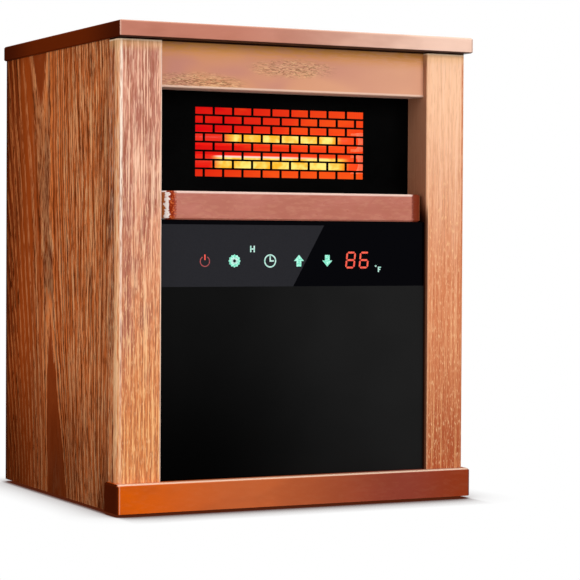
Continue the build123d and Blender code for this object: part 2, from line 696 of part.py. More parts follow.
plate_rear_y = ROTOR_Y + ROTOR_RADIUS + PLATE_MARGIN
for name, side in SIDES:
    with BuildPart() as end_plate:
        with BuildSketch(Plane.YZ.offset(side * DUCT_X)) as plate:
            with Locations(((DUCT_REAR_Y + plate_rear_y) / 2, OUTLET_Z)):
                Rectangle(plate_rear_y - DUCT_REAR_Y, DUCT_HEIGHT + 2 * DUCT_SHEET)
            chamfer(plate.vertices().group_by(Axis.X)[-1], PLATE_CORNER)
            with Locations((ROTOR_Y, ROTOR_Z)):
                if name == "left":
                    Rectangle(BUSH_SIZE + 2 * SHAFT_PRESS, BUSH_SIZE + 2 * SHAFT_PRESS, mode=Mode.SUBTRACT)
                else:
                    Circle(MOTOR_BOSS_RADIUS + MOTOR_BOSS_CLEARANCE, mode=Mode.SUBTRACT)
        extrude(amount=side * DUCT_SHEET)
    pieces[f"blower_{name}_end_plate"] = end_plate

# Cross-flow rotor: forward-curved blades between two end discs with hubs
rotor_x = DUCT_X - ROTOR_END_GAP
blade_root = ROTOR_RADIUS - BLADE_DEPTH
blade_mid = ROTOR_RADIUS - BLADE_DEPTH / 2
with BuildSketch() as blade:
    with BuildLine():
        ThreePointArc(
            (blade_root, 0),
            Vector(blade_mid, 0).rotate(Axis.Z, BLADE_SWEEP / 2 - BLADE_LAG),
            Vector(ROTOR_RADIUS, 0).rotate(Axis.Z, BLADE_SWEEP),
        )
        offset(amount=BLADE_THICKNESS, side=Side.LEFT)
    make_face()
with BuildPart() as blower_rotor:
    with BuildSketch(across(-rotor_x, ROTOR_Y, ROTOR_Z)):
        with PolarLocations(0, BLADE_COUNT):
            add(blade.sketch)
    extrude(amount=2 * rotor_x)
    for _, side in SIDES:
        with BuildSketch(across(side * rotor_x, ROTOR_Y, ROTOR_Z)):
            Circle(ROTOR_RADIUS + ROTOR_RIM)
        extrude(amount=-side * ROTOR_DISC)
        with BuildSketch(across(side * rotor_x, ROTOR_Y, ROTOR_Z)):
            Circle(HUB_RADIUS)
        extrude(amount=-side * HUB_LENGTH)
    with BuildSketch(across(0, ROTOR_Y, ROTOR_Z)):
        Circle(SHAFT_RADIUS + SHAFT_PRESS)
    extrude(amount=rotor_x, both=True, mode=Mode.SUBTRACT)
pieces["blower_rotor"] = blower_rotor

with BuildPart() as rotor_shaft:
    with BuildSketch(across(-DUCT_OUTER_X - SHAFT_OUT, ROTOR_Y, ROTOR_Z)):
        Circle(SHAFT_RADIUS)
    extrude(amount=2 * DUCT_OUTER_X + SHAFT_OUT + SHAFT_IN_MOTOR)
pieces["rotor_shaft"] = rotor_shaft

# Square flanged bush that carries the shaft at the left
with BuildPart() as shaft_bush:
    with BuildSketch(across(-DUCT_OUTER_X - BUSH_OUT, ROTOR_Y, ROTOR_Z)):
        Rectangle(BUSH_SIZE, BUSH_SIZE)
    extrude(amount=BUSH_OUT + DUCT_SHEET + BUSH_IN)
    with BuildSketch(across(-DUCT_OUTER_X, ROTOR_Y, ROTOR_Z)):
        Rectangle(BUSH_FLANGE_SIZE, BUSH_FLANGE_SIZE)
    extrude(amount=-BUSH_FLANGE)
    with BuildSketch(across(-DUCT_X, ROTOR_Y, ROTOR_Z)):
        Circle(SHAFT_RADIUS + SHAFT_RUNNING)
    extrude(amount=DUCT_SHEET + BUSH_OUT, both=True, mode=Mode.SUBTRACT)
pieces["shaft_bush"] = shaft_bush

# Motor that carries the shaft at the right: mounting plate, laminated stack, coil, bearing block and boss
motor_face = across(DUCT_OUTER_X, ROTOR_Y, ROTOR_Z)
stack_face = across(DUCT_OUTER_X + MOTOR_PLATE, ROTOR_Y, ROTOR_Z)
with BuildPart() as blower_motor:
    with BuildSketch(motor_face):
        Rectangle(MOTOR_PLATE_WIDTH, MOTOR_PLATE_HEIGHT)
    extrude(amount=MOTOR_PLATE)
    with BuildSketch(stack_face):
        with Locations((0, -MOTOR_STACK_DROP)):
            Rectangle(MOTOR_STACK_WIDTH, MOTOR_STACK_HEIGHT)
        with Locations((0, -MOTOR_COIL_DROP)):
            Rectangle(MOTOR_WINDOW, MOTOR_COIL_HEIGHT, mode=Mode.SUBTRACT)
    extrude(amount=MOTOR_STACK)
    with BuildSketch(stack_face):
        with Locations((0, -MOTOR_COIL_DROP)):
            Rectangle(MOTOR_COIL_WIDTH, MOTOR_COIL_HEIGHT)
    extrude(amount=MOTOR_STACK + MOTOR_COIL_OUT)
    with BuildSketch(stack_face):
        Rectangle(MOTOR_BEARING, MOTOR_BEARING)
    extrude(amount=MOTOR_STACK + MOTOR_BEARING_OUT)
    with BuildSketch(motor_face):
        Circle(MOTOR_BOSS_RADIUS)
    extrude(amount=-DUCT_SHEET - MOTOR_BOSS_IN)
    with BuildSketch(motor_face):
        Circle(SHAFT_RADIUS + SHAFT_RUNNING)
    extrude(amount=SHAFT_IN_MOTOR + SHAFT_END_ROOM, both=True, mode=Mode.SUBTRACT)
pieces["blower_motor"] = blower_motor

# Folded stand that carries duct and blower above the base
stand_deck_z = DUCT_UNDER_Z - STAND_SHEET
with BuildPart() as heater_stand:
    with BuildSketch(facing_front(stand_y + STAND_DEPTH / 2)):
        with BuildLine():
            FilletPolyline(
                (-STAND_LEG_X - STAND_FOOT, PLINTH_TOP_Z),
                (-STAND_LEG_X, PLINTH_TOP_Z),
                (-STAND_LEG_X, stand_deck_z),
                (STAND_LEG_X, stand_deck_z),
                (STAND_LEG_X, PLINTH_TOP_Z),
                (STAND_LEG_X + STAND_FOOT, PLINTH_TOP_Z),
                radius=STAND_BEND,
            )
            offset(amount=STAND_SHEET, side=Side.LEFT, kind=Kind.INTERSECTION)
        make_face()
    extrude(amount=STAND_DEPTH)
    with BuildSketch(Plane.YZ):
        with Locations((stand_y, (stand_deck_z + PLINTH_TOP_Z) / 2)):
            Rectangle(STAND_DEPTH - STAND_WINDOW, stand_deck_z - PLINTH_TOP_Z - STAND_WINDOW)
    extrude(amount=STAND_LEG_X + STAND_FOOT, both=True, mode=Mode.SUBTRACT)
pieces["heater_stand"] = heater_stand

# Power board on its standoffs, with the relays, and the terminal block near the gland
board_z = PLINTH_TOP_Z + STANDOFF_HEIGHT
with BuildPart() as board_standoffs:
    with BuildSketch(Plane.XY.offset(PLINTH_TOP_Z)):
        with Locations((0, stand_y)):
            with GridLocations(
                POWER_BOARD_WIDTH - 2 * BOARD_HOLE_INSET, POWER_BOARD_DEPTH - 2 * BOARD_HOLE_INSET, 2, 2
            ):
                RegularPolygon(STANDOFF_RADIUS, 6)
    extrude(amount=STANDOFF_HEIGHT)
pieces["board_standoffs"] = board_standoffs

with BuildPart() as power_board:
    with BuildSketch(Plane.XY.offset(board_z)):
        with Locations((0, stand_y)):
            Rectangle(POWER_BOARD_WIDTH, POWER_BOARD_DEPTH)
    extrude(amount=BOARD_THICKNESS)
pieces["power_board"] = power_board

with BuildPart() as relays:
    with BuildSketch(Plane.XY.offset(board_z + BOARD_THICKNESS)):
        with Locations((0, stand_y)):
            with GridLocations(RELAY_PITCH, RELAY_PITCH, RELAY_COUNT, 1):
                Rectangle(RELAY_WIDTH, RELAY_LENGTH)
    extrude(amount=RELAY_HEIGHT)
pieces["relays"] = relays

terminal_y = REAR_INNER_Y - TERMINAL_REAR_GAP - TERMINAL_DEPTH / 2
with BuildPart() as terminal_block:
    with BuildSketch(Plane.XY.offset(PLINTH_TOP_Z)):
        with Locations((GLAND_X, terminal_y)):
            Rectangle(TERMINAL_WIDTH, TERMINAL_DEPTH)
    extrude(amount=TERMINAL_HEIGHT)
    with BuildSketch(Plane.XY.offset(PLINTH_TOP_Z + TERMINAL_HEIGHT)):
        with Locations((GLAND_X, terminal_y)):
            with GridLocations(TERMINAL_PITCH, TERMINAL_PITCH, TERMINAL_WAYS, 1):
                Rectangle(TERMINAL_POCKET, TERMINAL_POCKET)
    extrude(amount=-TERMINAL_POCKET_DEPTH, mode=Mode.SUBTRACT)
pieces["terminal_block"] = terminal_block

# Tip-over switch: a hollow body on the base and a square collared plunger that stands on the floor
collar_z = PLINTH_TOP_Z + TIP_FLOOR + PLUNGER_STOP_GAP + PLUNGER_DROP
plunger_top_z = collar_z + PLUNGER_COLLAR
cavity_height = plunger_top_z + PLUNGER_PUSH + TIP_SPRING_ROOM - PLINTH_TOP_Z - TIP_FLOOR
with BuildPart() as tip_switch_body:
    with BuildSketch(Plane.XY.offset(PLINTH_TOP_Z)):
        with Locations(tip_point):
            Rectangle(TIP_BODY_WIDTH, TIP_BODY_DEPTH)
            Rectangle(PLUNGER_SIZE + 2 * PLUNGER_GUIDE, PLUNGER_SIZE + 2 * PLUNGER_GUIDE, mode=Mode.SUBTRACT)
    extrude(amount=TIP_FLOOR)
    with BuildSketch(Plane.XY.offset(PLINTH_TOP_Z + TIP_FLOOR)):
        with Locations(tip_point):
            Rectangle(TIP_BODY_WIDTH, TIP_BODY_DEPTH)
            Rectangle(TIP_CAVITY, TIP_CAVITY, mode=Mode.SUBTRACT)
    extrude(amount=cavity_height)
    with BuildSketch(Plane.XY.offset(PLINTH_TOP_Z + TIP_FLOOR + cavity_height)):
        with Locations(tip_point):
            Rectangle(TIP_BODY_WIDTH, TIP_BODY_DEPTH)
    extrude(amount=TIP_ROOF)
pieces["tip_switch_body"] = tip_switch_body

with BuildPart() as tip_switch_plunger:
    with BuildSketch(Plane.XY):
        with Locations(tip_point):
            Rectangle(PLUNGER_SIZE, PLUNGER_SIZE)
    extrude(amount=plunger_top_z)
    chamfer(tip_switch_plunger.edges().group_by(Axis.Z)[0], PLUNGER_TIP_EASE)
    with BuildSketch(Plane.XY.offset(collar_z)):
        with Locations(tip_point):
            Rectangle(PLUNGER_COLLAR_SIZE, PLUNGER_COLLAR_SIZE)
    extrude(amount=PLUNGER_COLLAR)
pieces["tip_switch_plunger"] = tip_switch_plunger

# Battens on the side boards that the rear panel is fixed to
with BuildPart() as rear_cleats:
    for _, side in SIDES:
        with BuildSketch(Plane.XY.offset(PLINTH_TOP_Z)):
            with Locations((side * CLEAT_X, REAR_INNER_Y - CLEAT / 2)):
                Rectangle(CLEAT, CLEAT)
        extrude(amount=TOP_UNDER_Z - PLINTH_TOP_Z)
pieces["rear_cleats"] = rear_cleats

# Rear panel: intake slots, switch and gland openings, and slots for the filter's clips
clip_pitch_x = FILTER_WIDTH - 2 * CLIP_INSET
with BuildPart() as rear_panel:
    with BuildSketch(facing_front(REAR_Y)):
        with Locations((0, (BASE_UNDER_Z + TOP_UNDER_Z) / 2)):
            Rectangle(2 * INNER_X, TOP_UNDER_Z - BASE_UNDER_Z)
        with Locations((ROCKER_X, ROCKER_Z)):
            Rectangle(
                SWITCH_WIDTH + 2 * SWITCH_CLEARANCE,
                SWITCH_HEIGHT + 2 * SWITCH_CLEARANCE,
                mode=Mode.SUBTRACT,
            )
        with Locations((GLAND_X, ROCKER_Z)):
            Circle(GLAND_THREAD_RADIUS + GLAND_HOLE_CLEARANCE, mode=Mode.SUBTRACT)
        with Locations((0, INTAKE_Z)):
            with GridLocations(INTAKE_SLOT_PITCH_X, INTAKE_SLOT_PITCH_Z, INTAKE_COLUMNS, INTAKE_ROWS):
                Rectangle(INTAKE_SLOT_LENGTH, INTAKE_SLOT_HEIGHT, mode=Mode.SUBTRACT)
            with GridLocations(clip_pitch_x, CLIP_PITCH, 2, 2):
                Rectangle(
                    CLIP_THICKNESS + 2 * CLIP_CLEARANCE,
                    CLIP_WIDTH + 2 * CLIP_CLEARANCE,
                    mode=Mode.SUBTRACT,
                )
    extrude(amount=REAR_SHEET)
pieces["rear_panel"] = rear_panel

# Washable filter: a ribbed frame with grips and clips, and the mesh let into its inner face
filter_y = REAR_Y + FILTER_GAP
window_field_x = FILTER_WIDTH - 2 * FILTER_RIM + FILTER_RIB
window_field_z = FILTER_HEIGHT - 2 * FILTER_RIM + FILTER_RIB
window_pitch_x = window_field_x / FILTER_COLUMNS
window_pitch_z = window_field_z / FILTER_ROWS
mesh_width = FILTER_WIDTH - 2 * FILTER_RIM + 2 * MESH_LAP
mesh_height = FILTER_HEIGHT - 2 * FILTER_RIM + 2 * MESH_LAP
with BuildPart() as filter_frame:
    with BuildSketch(facing_front(filter_y)):
        with Locations((0, INTAKE_Z)):
            RectangleRounded(FILTER_WIDTH, FILTER_HEIGHT, FILTER_CORNER)
            with GridLocations(window_pitch_x, window_pitch_z, FILTER_COLUMNS, FILTER_ROWS):
                Rectangle(window_pitch_x - FILTER_RIB, window_pitch_z - FILTER_RIB, mode=Mode.SUBTRACT)
    extrude(amount=-FILTER_DEPTH)
    with BuildSketch(facing_front(filter_y)):
        with Locations((0, INTAKE_Z)):
            Rectangle(mesh_width + 2 * MESH_CLEARANCE, mesh_height + 2 * MESH_CLEARANCE)
    extrude(amount=-MESH_THICKNESS, mode=Mode.SUBTRACT)
    with BuildSketch(facing_front(filter_y)):
        with Locations((0, INTAKE_Z)):
            with GridLocations(clip_pitch_x, CLIP_PITCH, 2, 2):
                Rectangle(CLIP_THICKNESS, CLIP_WIDTH)
    extrude(amount=CLIP_LENGTH)
    with BuildSketch(facing_front(filter_y + FILTER_DEPTH)):
        with Locations((0, INTAKE_Z)):
            with GridLocations(GRIP_WIDTH, FILTER_HEIGHT - FILTER_RIM, 1, 2):
                Rectangle(GRIP_WIDTH, GRIP_THICKNESS)
    extrude(amount=-GRIP_HEIGHT)
pieces["filter_frame"] = filter_frame

with BuildPart() as filter_mesh:
    with BuildSketch(facing_front(filter_y)):
        with Locations((0, INTAKE_Z)):
            Rectangle(mesh_width, mesh_height)
    extrude(amount=-MESH_THICKNESS)
pieces["filter_mesh"] = filter_mesh

# Rear power rocker: a bezelled housing and a rocker on two stub pins, drawn pressed in at its top
bezel_y = REAR_Y + BEZEL_THICKNESS
pivot_y = bezel_y - ROCKER_PIVOT_DEPTH
with BuildPart() as rocker_housing:
    with BuildSketch(facing_front(bezel_y)) as bezel:
        with Locations((ROCKER_X, ROCKER_Z)):
            Rectangle(BEZEL_WIDTH, BEZEL_HEIGHT)
        chamfer(bezel.vertices(), BEZEL_CORNER)
    extrude(amount=BEZEL_THICKNESS)
    with BuildSketch(facing_front(REAR_Y)):
        with Locations((ROCKER_X, ROCKER_Z)):
            Rectangle(SWITCH_WIDTH, SWITCH_HEIGHT)
    extrude(amount=SWITCH_DEPTH)
    with BuildSketch(facing_front(bezel_y)):
        with Locations((ROCKER_X, ROCKER_Z)):
            Rectangle(ROCKER_WIDTH + 2 * ROCKER_SIDE_GAP, ROCKER_LENGTH + 2 * ROCKER_END_GAP)
    extrude(amount=SWITCH_CAVITY, mode=Mode.SUBTRACT)
    with BuildSketch(across(ROCKER_X, pivot_y, ROCKER_Z)):
        Circle(ROCKER_PIN_RADIUS + ROCKER_PIN_RUNNING)
    extrude(amount=ROCKER_WIDTH / 2 + ROCKER_PIN_LENGTH + ROCKER_SIDE_GAP, both=True, mode=Mode.SUBTRACT)
pieces["rocker_housing"] = rocker_housing

rocker_plane = across(ROCKER_X, pivot_y, ROCKER_Z).rotated((ROCKER_TILT, 0, 0))
half_rocker = ROCKER_LENGTH / 2
rocker_end = ROCKER_VALLEY + half_rocker * tan(radians(ROCKER_TILT))
with BuildPart() as rocker_button:
    with BuildSketch(rocker_plane):
        with BuildLine():
            Polyline(
                (ROCKER_VALLEY, 0),
                (rocker_end, half_rocker),
                (0, half_rocker),
                (-ROCKER_SKIRT, half_rocker - ROCKER_SKIRT_INSET),
                (-ROCKER_SKIRT, ROCKER_SKIRT_INSET - half_rocker),
                (0, -half_rocker),
                (rocker_end, -half_rocker),
                close=True,
            )
        make_face()
    extrude(amount=ROCKER_WIDTH / 2, both=True)
    with BuildSketch(rocker_plane):
        Circle(ROCKER_PIN_RADIUS)
    extrude(amount=ROCKER_WIDTH / 2 + ROCKER_PIN_LENGTH, both=True)
pieces["rocker_button"] = rocker_button

# Cord gland: a thread through the rear panel, a hexagonal flange and nose outside it, and a bore for the cord
gland_outer_y = REAR_Y + GLAND_FLANGE + GLAND_NOSE_LENGTH
gland_length = gland_outer_y - REAR_INNER_Y + GLAND_THREAD_LENGTH
with BuildPart() as cord_gland:
    with BuildSketch(facing_front(gland_outer_y)):
        with Locations((GLAND_X, ROCKER_Z)):
            RegularPolygon(GLAND_NOSE_RADIUS, 6)
    extrude(amount=GLAND_NOSE_LENGTH)
    chamfer(cord_gland.edges().group_by(Axis.Y)[-1], GLAND_NOSE_EASE)
    with BuildSketch(facing_front(REAR_Y + GLAND_FLANGE)):
        with Locations((GLAND_X, ROCKER_Z)):
            RegularPolygon(GLAND_FLANGE_RADIUS, 6)
    extrude(amount=GLAND_FLANGE)
    with BuildSketch(facing_front(REAR_Y)):
        with Locations((GLAND_X, ROCKER_Z)):
            Circle(GLAND_THREAD_RADIUS)
    extrude(amount=REAR_SHEET + GLAND_THREAD_LENGTH)
    with BuildSketch(facing_front(gland_outer_y)):
        with Locations((GLAND_X, ROCKER_Z)):
            Circle(GLAND_BORE_RADIUS)
    extrude(amount=gland_length, mode=Mode.SUBTRACT)
pieces["cord_gland"] = cord_gland

# Locknut of the gland, inside the rear panel
with BuildPart() as gland_locknut:
    with BuildSketch(facing_front(REAR_INNER_Y)):
        with Locations((GLAND_X, ROCKER_Z)):
            RegularPolygon(LOCKNUT_RADIUS, 6)
            Circle(GLAND_THREAD_RADIUS + LOCKNUT_CLEARANCE, mode=Mode.SUBTRACT)
    extrude(amount=LOCKNUT_THICKNESS)
pieces["gland_locknut"] = gland_locknut

# Every piece is written under its own name
os.makedirs("parts", exist_ok=True)
for name, piece in pieces.items():
    piece.part.label = name
    export_step(piece.part, f"parts/{name}.step")
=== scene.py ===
import json
from math import cos, pi, radians, sin

import bmesh
import bpy
from mathutils import Matrix, Vector


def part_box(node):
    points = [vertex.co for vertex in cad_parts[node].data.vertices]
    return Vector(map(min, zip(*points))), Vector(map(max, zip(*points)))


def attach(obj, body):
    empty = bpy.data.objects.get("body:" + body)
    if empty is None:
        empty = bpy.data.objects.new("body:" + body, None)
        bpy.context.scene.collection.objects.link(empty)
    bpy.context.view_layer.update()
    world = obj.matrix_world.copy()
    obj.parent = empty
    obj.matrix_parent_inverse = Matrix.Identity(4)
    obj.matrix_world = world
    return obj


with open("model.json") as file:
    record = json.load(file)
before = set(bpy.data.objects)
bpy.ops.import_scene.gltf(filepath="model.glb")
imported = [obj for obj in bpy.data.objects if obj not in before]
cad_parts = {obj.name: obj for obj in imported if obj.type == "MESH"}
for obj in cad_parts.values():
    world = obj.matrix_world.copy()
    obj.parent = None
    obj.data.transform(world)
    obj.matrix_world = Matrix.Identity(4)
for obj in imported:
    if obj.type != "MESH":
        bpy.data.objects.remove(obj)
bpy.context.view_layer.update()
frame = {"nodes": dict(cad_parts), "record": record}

MM = 0.001
GRAIN_HEIGHT = 0.4 * MM

# Camera, in metres and degrees, with the picture's size in pixels
IMAGE = 580
FOCAL = 2150.75
PRINCIPAL = (291.58, 281.68)
CAMERA_AT = Vector((-0.8086, -1.7601, 0.2255))
CAMERA_YAW = radians(26.299)
CAMERA_PITCH = radians(-1.112)
CAMERA_ROLL = radians(0.313)
SENSOR = 36.0

# Places read from the frame
GLASS_LOW, GLASS_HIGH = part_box("control_glass")
STILE_LOW, STILE_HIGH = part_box("left_stile")
SIDE_LOW, SIDE_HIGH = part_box("left_side_panel")
RAIL_LOW, RAIL_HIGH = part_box("mid_rail")
PLINTH_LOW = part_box("plinth_rail")[0]
HEADER_LOW, HEADER_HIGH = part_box("header_rail")
REFLECTOR_LOW, REFLECTOR_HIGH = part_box("reflector")
REAR_LOW, REAR_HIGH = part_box("rear_panel")


def srgb(red, green, blue):
    """A colour given in 0 to 255 screen values, as linear RGBA."""
    def linear(value):
        value /= 255
        return value / 12.92 if value <= 0.04045 else ((value + 0.055) / 1.055) ** 2.4
    return (linear(red), linear(green), linear(blue), 1.0)


class Shade:
    """A node material with short calls for the few nodes that the materials share."""

    def __init__(self, name, **sockets):
        self.material = bpy.data.materials.new(name)
        self.material.use_nodes = True
        self.tree = self.material.node_tree
        self.shader = self.tree.nodes["Principled BSDF"]
        self.coords = self.node("ShaderNodeTexCoord").outputs["Object"]
        for socket, value in sockets.items():
            self.set(socket.replace("_", " "), value)

    def node(self, kind, **settings):
        node = self.tree.nodes.new(kind)
        for key, value in settings.items():
            setattr(node, key, value)
        return node

    def put(self, socket, value):
        """A link, or a plain value, into a socket."""
        if isinstance(value, bpy.types.NodeSocket):
            self.tree.links.new(value, socket)
        else:
            socket.default_value = value

    def set(self, socket, value):
        self.put(self.shader.inputs[socket], value)

    def paint(self, colour):
        self.set("Base Color", colour)

    def math(self, operation, first, second=0.0, clamp=False):
        node = self.node("ShaderNodeMath", operation=operation, use_clamp=clamp)
        self.put(node.inputs[0], first)
        self.put(node.inputs[1], second)
        return node.outputs[0]

    def plus(self, first, second):
        return self.math("ADD", first, second)

    def minus(self, first, second):
        return self.math("SUBTRACT", first, second)

    def size(self, value):
        """A value without its sign."""
        return self.math("ABSOLUTE", value)

    def times(self, first, *others):
        """The product of values."""
        for other in others:
            first = self.math("MULTIPLY", first, other)
        return first

    def parts(self, vector):
        split = self.node("ShaderNodeSeparateXYZ")
        self.put(split.inputs[0], vector)
        return split.outputs

    def axes(self):
        """X, Y and Z of a point of the object, in metres."""
        return self.parts(self.coords)

    def facing(self):
        """X, Y and Z of the way that a surface faces."""
        return self.parts(self.node("ShaderNodeNewGeometry").outputs["Normal"])

    def between(self, value, low, high, to_low=0.0, to_high=1.0):
        """Value carried smoothly from one range to another."""
        node = self.node("ShaderNodeMapRange", interpolation_type="SMOOTHSTEP")
        for socket, number in zip(node.inputs, (value, low, high, to_low, to_high)):
            self.put(socket, number)
        return node.outputs[0]

    def between_mm(self, value, low, high, to_low=0.0, to_high=1.0):
        """The same, from a range in millimetres."""
        return self.between(value, low * MM, high * MM, to_low, to_high)

    def window(self, value, start, full, fade, end):
        """1 from full to fade, falling smoothly to 0 at start and at end."""
        return self.times(self.between(value, start, full), self.between(value, end, fade))

    def right_half(self, x):
        """0 on the object's left and 1 on its right."""
        return self.between_mm(x, -20, 20)

    def noise(self, scale, stretch=(1, 1, 1), detail=3.0, roughness=0.55, shift=(0, 0, 0)):
        """Noise with so many features in a metre, stretched along the axes."""
        mapping = self.node("ShaderNodeMapping")
        self.put(mapping.inputs["Vector"], self.coords)
        self.put(mapping.inputs["Location"], shift)
        self.put(mapping.inputs["Scale"], stretch)
        return self.noise_along(mapping.outputs[0], scale, detail, roughness)

    def noise_along(self, vector, scale, detail, roughness):
        texture = self.node("ShaderNodeTexNoise")
        self.put(texture.inputs["Vector"], vector)
        self.put(texture.inputs["Scale"], scale)
        self.put(texture.inputs["Detail"], detail)
        self.put(texture.inputs["Roughness"], roughness)
        return texture.outputs["Fac"]

    def threads(self, height, half, share):
        """Thin lines along the middle level of a noise."""
        off_middle = self.size(self.minus(height, 0.5))
        return self.between(off_middle, half, 0.3 * half, 0.0, share)

    def mix(self, factor, first, second, blend="MIX"):
        node = self.node("ShaderNodeMix", data_type="RGBA", blend_type=blend)
        self.put(node.inputs["Factor"], factor)
        self.put(node.inputs["A"], first)
        self.put(node.inputs["B"], second)
        return node.outputs["Result"]

    def over(self, colour, layer, *shares):
        """A layer over a colour, as strong as the product of the shares."""
        return self.mix(self.times(*shares), colour, layer)

    def coats(self, colour, layers):
        """Such layers with their shares, one over the other."""
        for layer in layers:
            colour = self.over(colour, *layer)
        return colour

    def bump(self, height, strength):
        node = self.node("ShaderNodeBump")
        self.put(node.inputs["Height"], height)
        self.put(node.inputs["Strength"], strength)
        self.put(node.inputs["Distance"], GRAIN_HEIGHT)
        self.set("Normal", node.outputs[0])

    def glow(self, colour, strength):
        self.set("Emission Color", colour)
        self.set("Emission Strength", strength)


# Wood film of the side boards, with places in metres

FIGURE_Y = 0.034
FIGURE_LEAN = 0.12
FIGURE_SWAY = 0.02
FIGURE_Z = 0.241
FIGURE_HEIGHT = 0.157
FIGURE_WIDTH_FOOT = 0.018
FIGURE_WIDTH_HEAD = 0.025
FIGURE_DEPTH = 5.26
FIGURE_RIPPLE = 0.9
FIGURE_RINGS = 2.3
HEARTWOOD = 2.28
LINES_PER_RING = 4.4
LINE_BREAKS = 14.0
FOLDS_PER_RING = 3.0
PLAIN_BAND_Y = 0.086
FRONT_TONE_AND_LIGHT_Y = -0.04
LATE_WOOD_SPAN = (-0.05, 0.03)
FOLD_SPAN = (-0.045, -0.015, 0.035, 0.050)
SEAM_START_Y = -0.08
FOOT_SHADE_Z = 0.16
REAR_SHADE_DEPTH = 16 * MM


def figure_rings(shade, y, z, tick):
    """Growth rings counted out from the heartwood: nested arches above and below its middle."""
    up = shade.minus(z, FIGURE_Z)
    heart = shade.plus(shade.times(up, FIGURE_LEAN), FIGURE_Y)
    width = shade.between(z, 0.0, SIDE_HIGH.z, FIGURE_WIDTH_FOOT, FIGURE_WIDTH_HEAD)
    wide = shade.math("DIVIDE", shade.minus(y, heart), width)
    tall = shade.math("DIVIDE", up, FIGURE_HEIGHT)
    ripple = shade.times(shade.noise(70, (1, 1, 0.06)), FIGURE_RIPPLE)
    depth = shade.minus(shade.times(wide, wide), shade.times(tall, tall))
    depth = shade.plus(depth, shade.plus(ripple, FIGURE_DEPTH))
    radius = shade.math("SQRT", shade.math("MAXIMUM", depth, 0.01))
    rings = shade.times(shade.minus(radius, HEARTWOOD), FIGURE_RINGS)
    return shade.plus(rings, shade.times(shade.minus(tick, 0.5), 0.25))


def ring_lines(shade, x, z, rings):
    """Noise drawn out along the rings."""
    along = shade.node("ShaderNodeCombineXYZ")
    shade.put(along.inputs["X"], shade.times(rings, LINES_PER_RING))
    shade.put(along.inputs["Y"], shade.times(z, LINE_BREAKS))
    shade.put(along.inputs["Z"], x)
    return shade.noise_along(along.outputs[0], 1.0, 3.0, 0.7)


def panel_openness(shade, y, rings, band, plain):
    """1 where the grain is open, and less in the heartwood, the late wood and the plain band."""
    late = shade.times(shade.between(band, 0.46, 0.62), shade.between(y, *LATE_WOOD_SPAN), 0.8)
    smooth = shade.math("MAXIMUM", shade.between(rings, 0.06, -0.02), late)
    return shade.times(shade.minus(1.0, shade.times(smooth, 0.85)), shade.minus(1.0, plain))


def panel_pores(shade, body, dark, pale, open_grain, fine, tick, line):
    """Dark streaks, grooves and pores, and bright lines, wherever the grain is open."""
    return shade.coats(body, [
        (dark, shade.between(fine, 0.49, 0.41), open_grain, 0.6),
        (dark, shade.between(line, 0.45, 0.39), open_grain, 0.8),
        (dark, shade.between(tick, 0.46, 0.40), open_grain, 0.6),
        (pale, shade.between(line, 0.54, 0.60), open_grain, 0.8),
    ])


def panel_folds(shade, colour, y, rings, open_grain):
    """Straight ridges and ditches between the figure and the front."""
    straight = shade.times(shade.window(y, *FOLD_SPAN), open_grain)
    fold = shade.math("FRACT", shade.times(rings, FOLDS_PER_RING))
    ridge = shade.window(fold, 0.08, 0.22, 0.34, 0.50)
    ditch = shade.window(fold, 0.56, 0.70, 0.86, 1.0)
    return shade.coats(colour, [
        (srgb(242, 132, 66), straight, ridge, 0.9),
        (srgb(98, 30, 8), straight, ditch, 0.85),
    ])


def panel_shades(shade, colour, y, z, drift, fine):
    """A dull seam at the front, shade at the foot and the back, and a band of film on the rear edge."""
    seam = shade.times(shade.between(y, SEAM_START_Y, SIDE_LOW.y), shade.between(drift, 0.3, 0.7, 0.2, 0.6))
    colour = shade.over(colour, srgb(98, 50, 34), seam)
    foot = shade.times(shade.between(z, FOOT_SHADE_Z, 0.0), shade.between(drift, 0.3, 0.7, 0.35, 0.65))
    colour = shade.mix(foot, colour, srgb(92, 70, 62), "MULTIPLY")
    rear = shade.between(y, SIDE_HIGH.y - REAR_SHADE_DEPTH, SIDE_HIGH.y, 0.0, 0.7)
    colour = shade.over(colour, srgb(44, 18, 7), rear)
    edge_band = shade.mix(shade.between(fine, 0.40, 0.60), srgb(66, 27, 12), srgb(112, 54, 26))
    return shade.over(colour, edge_band, shade.between(shade.facing()["Y"], 0.5, 0.8))


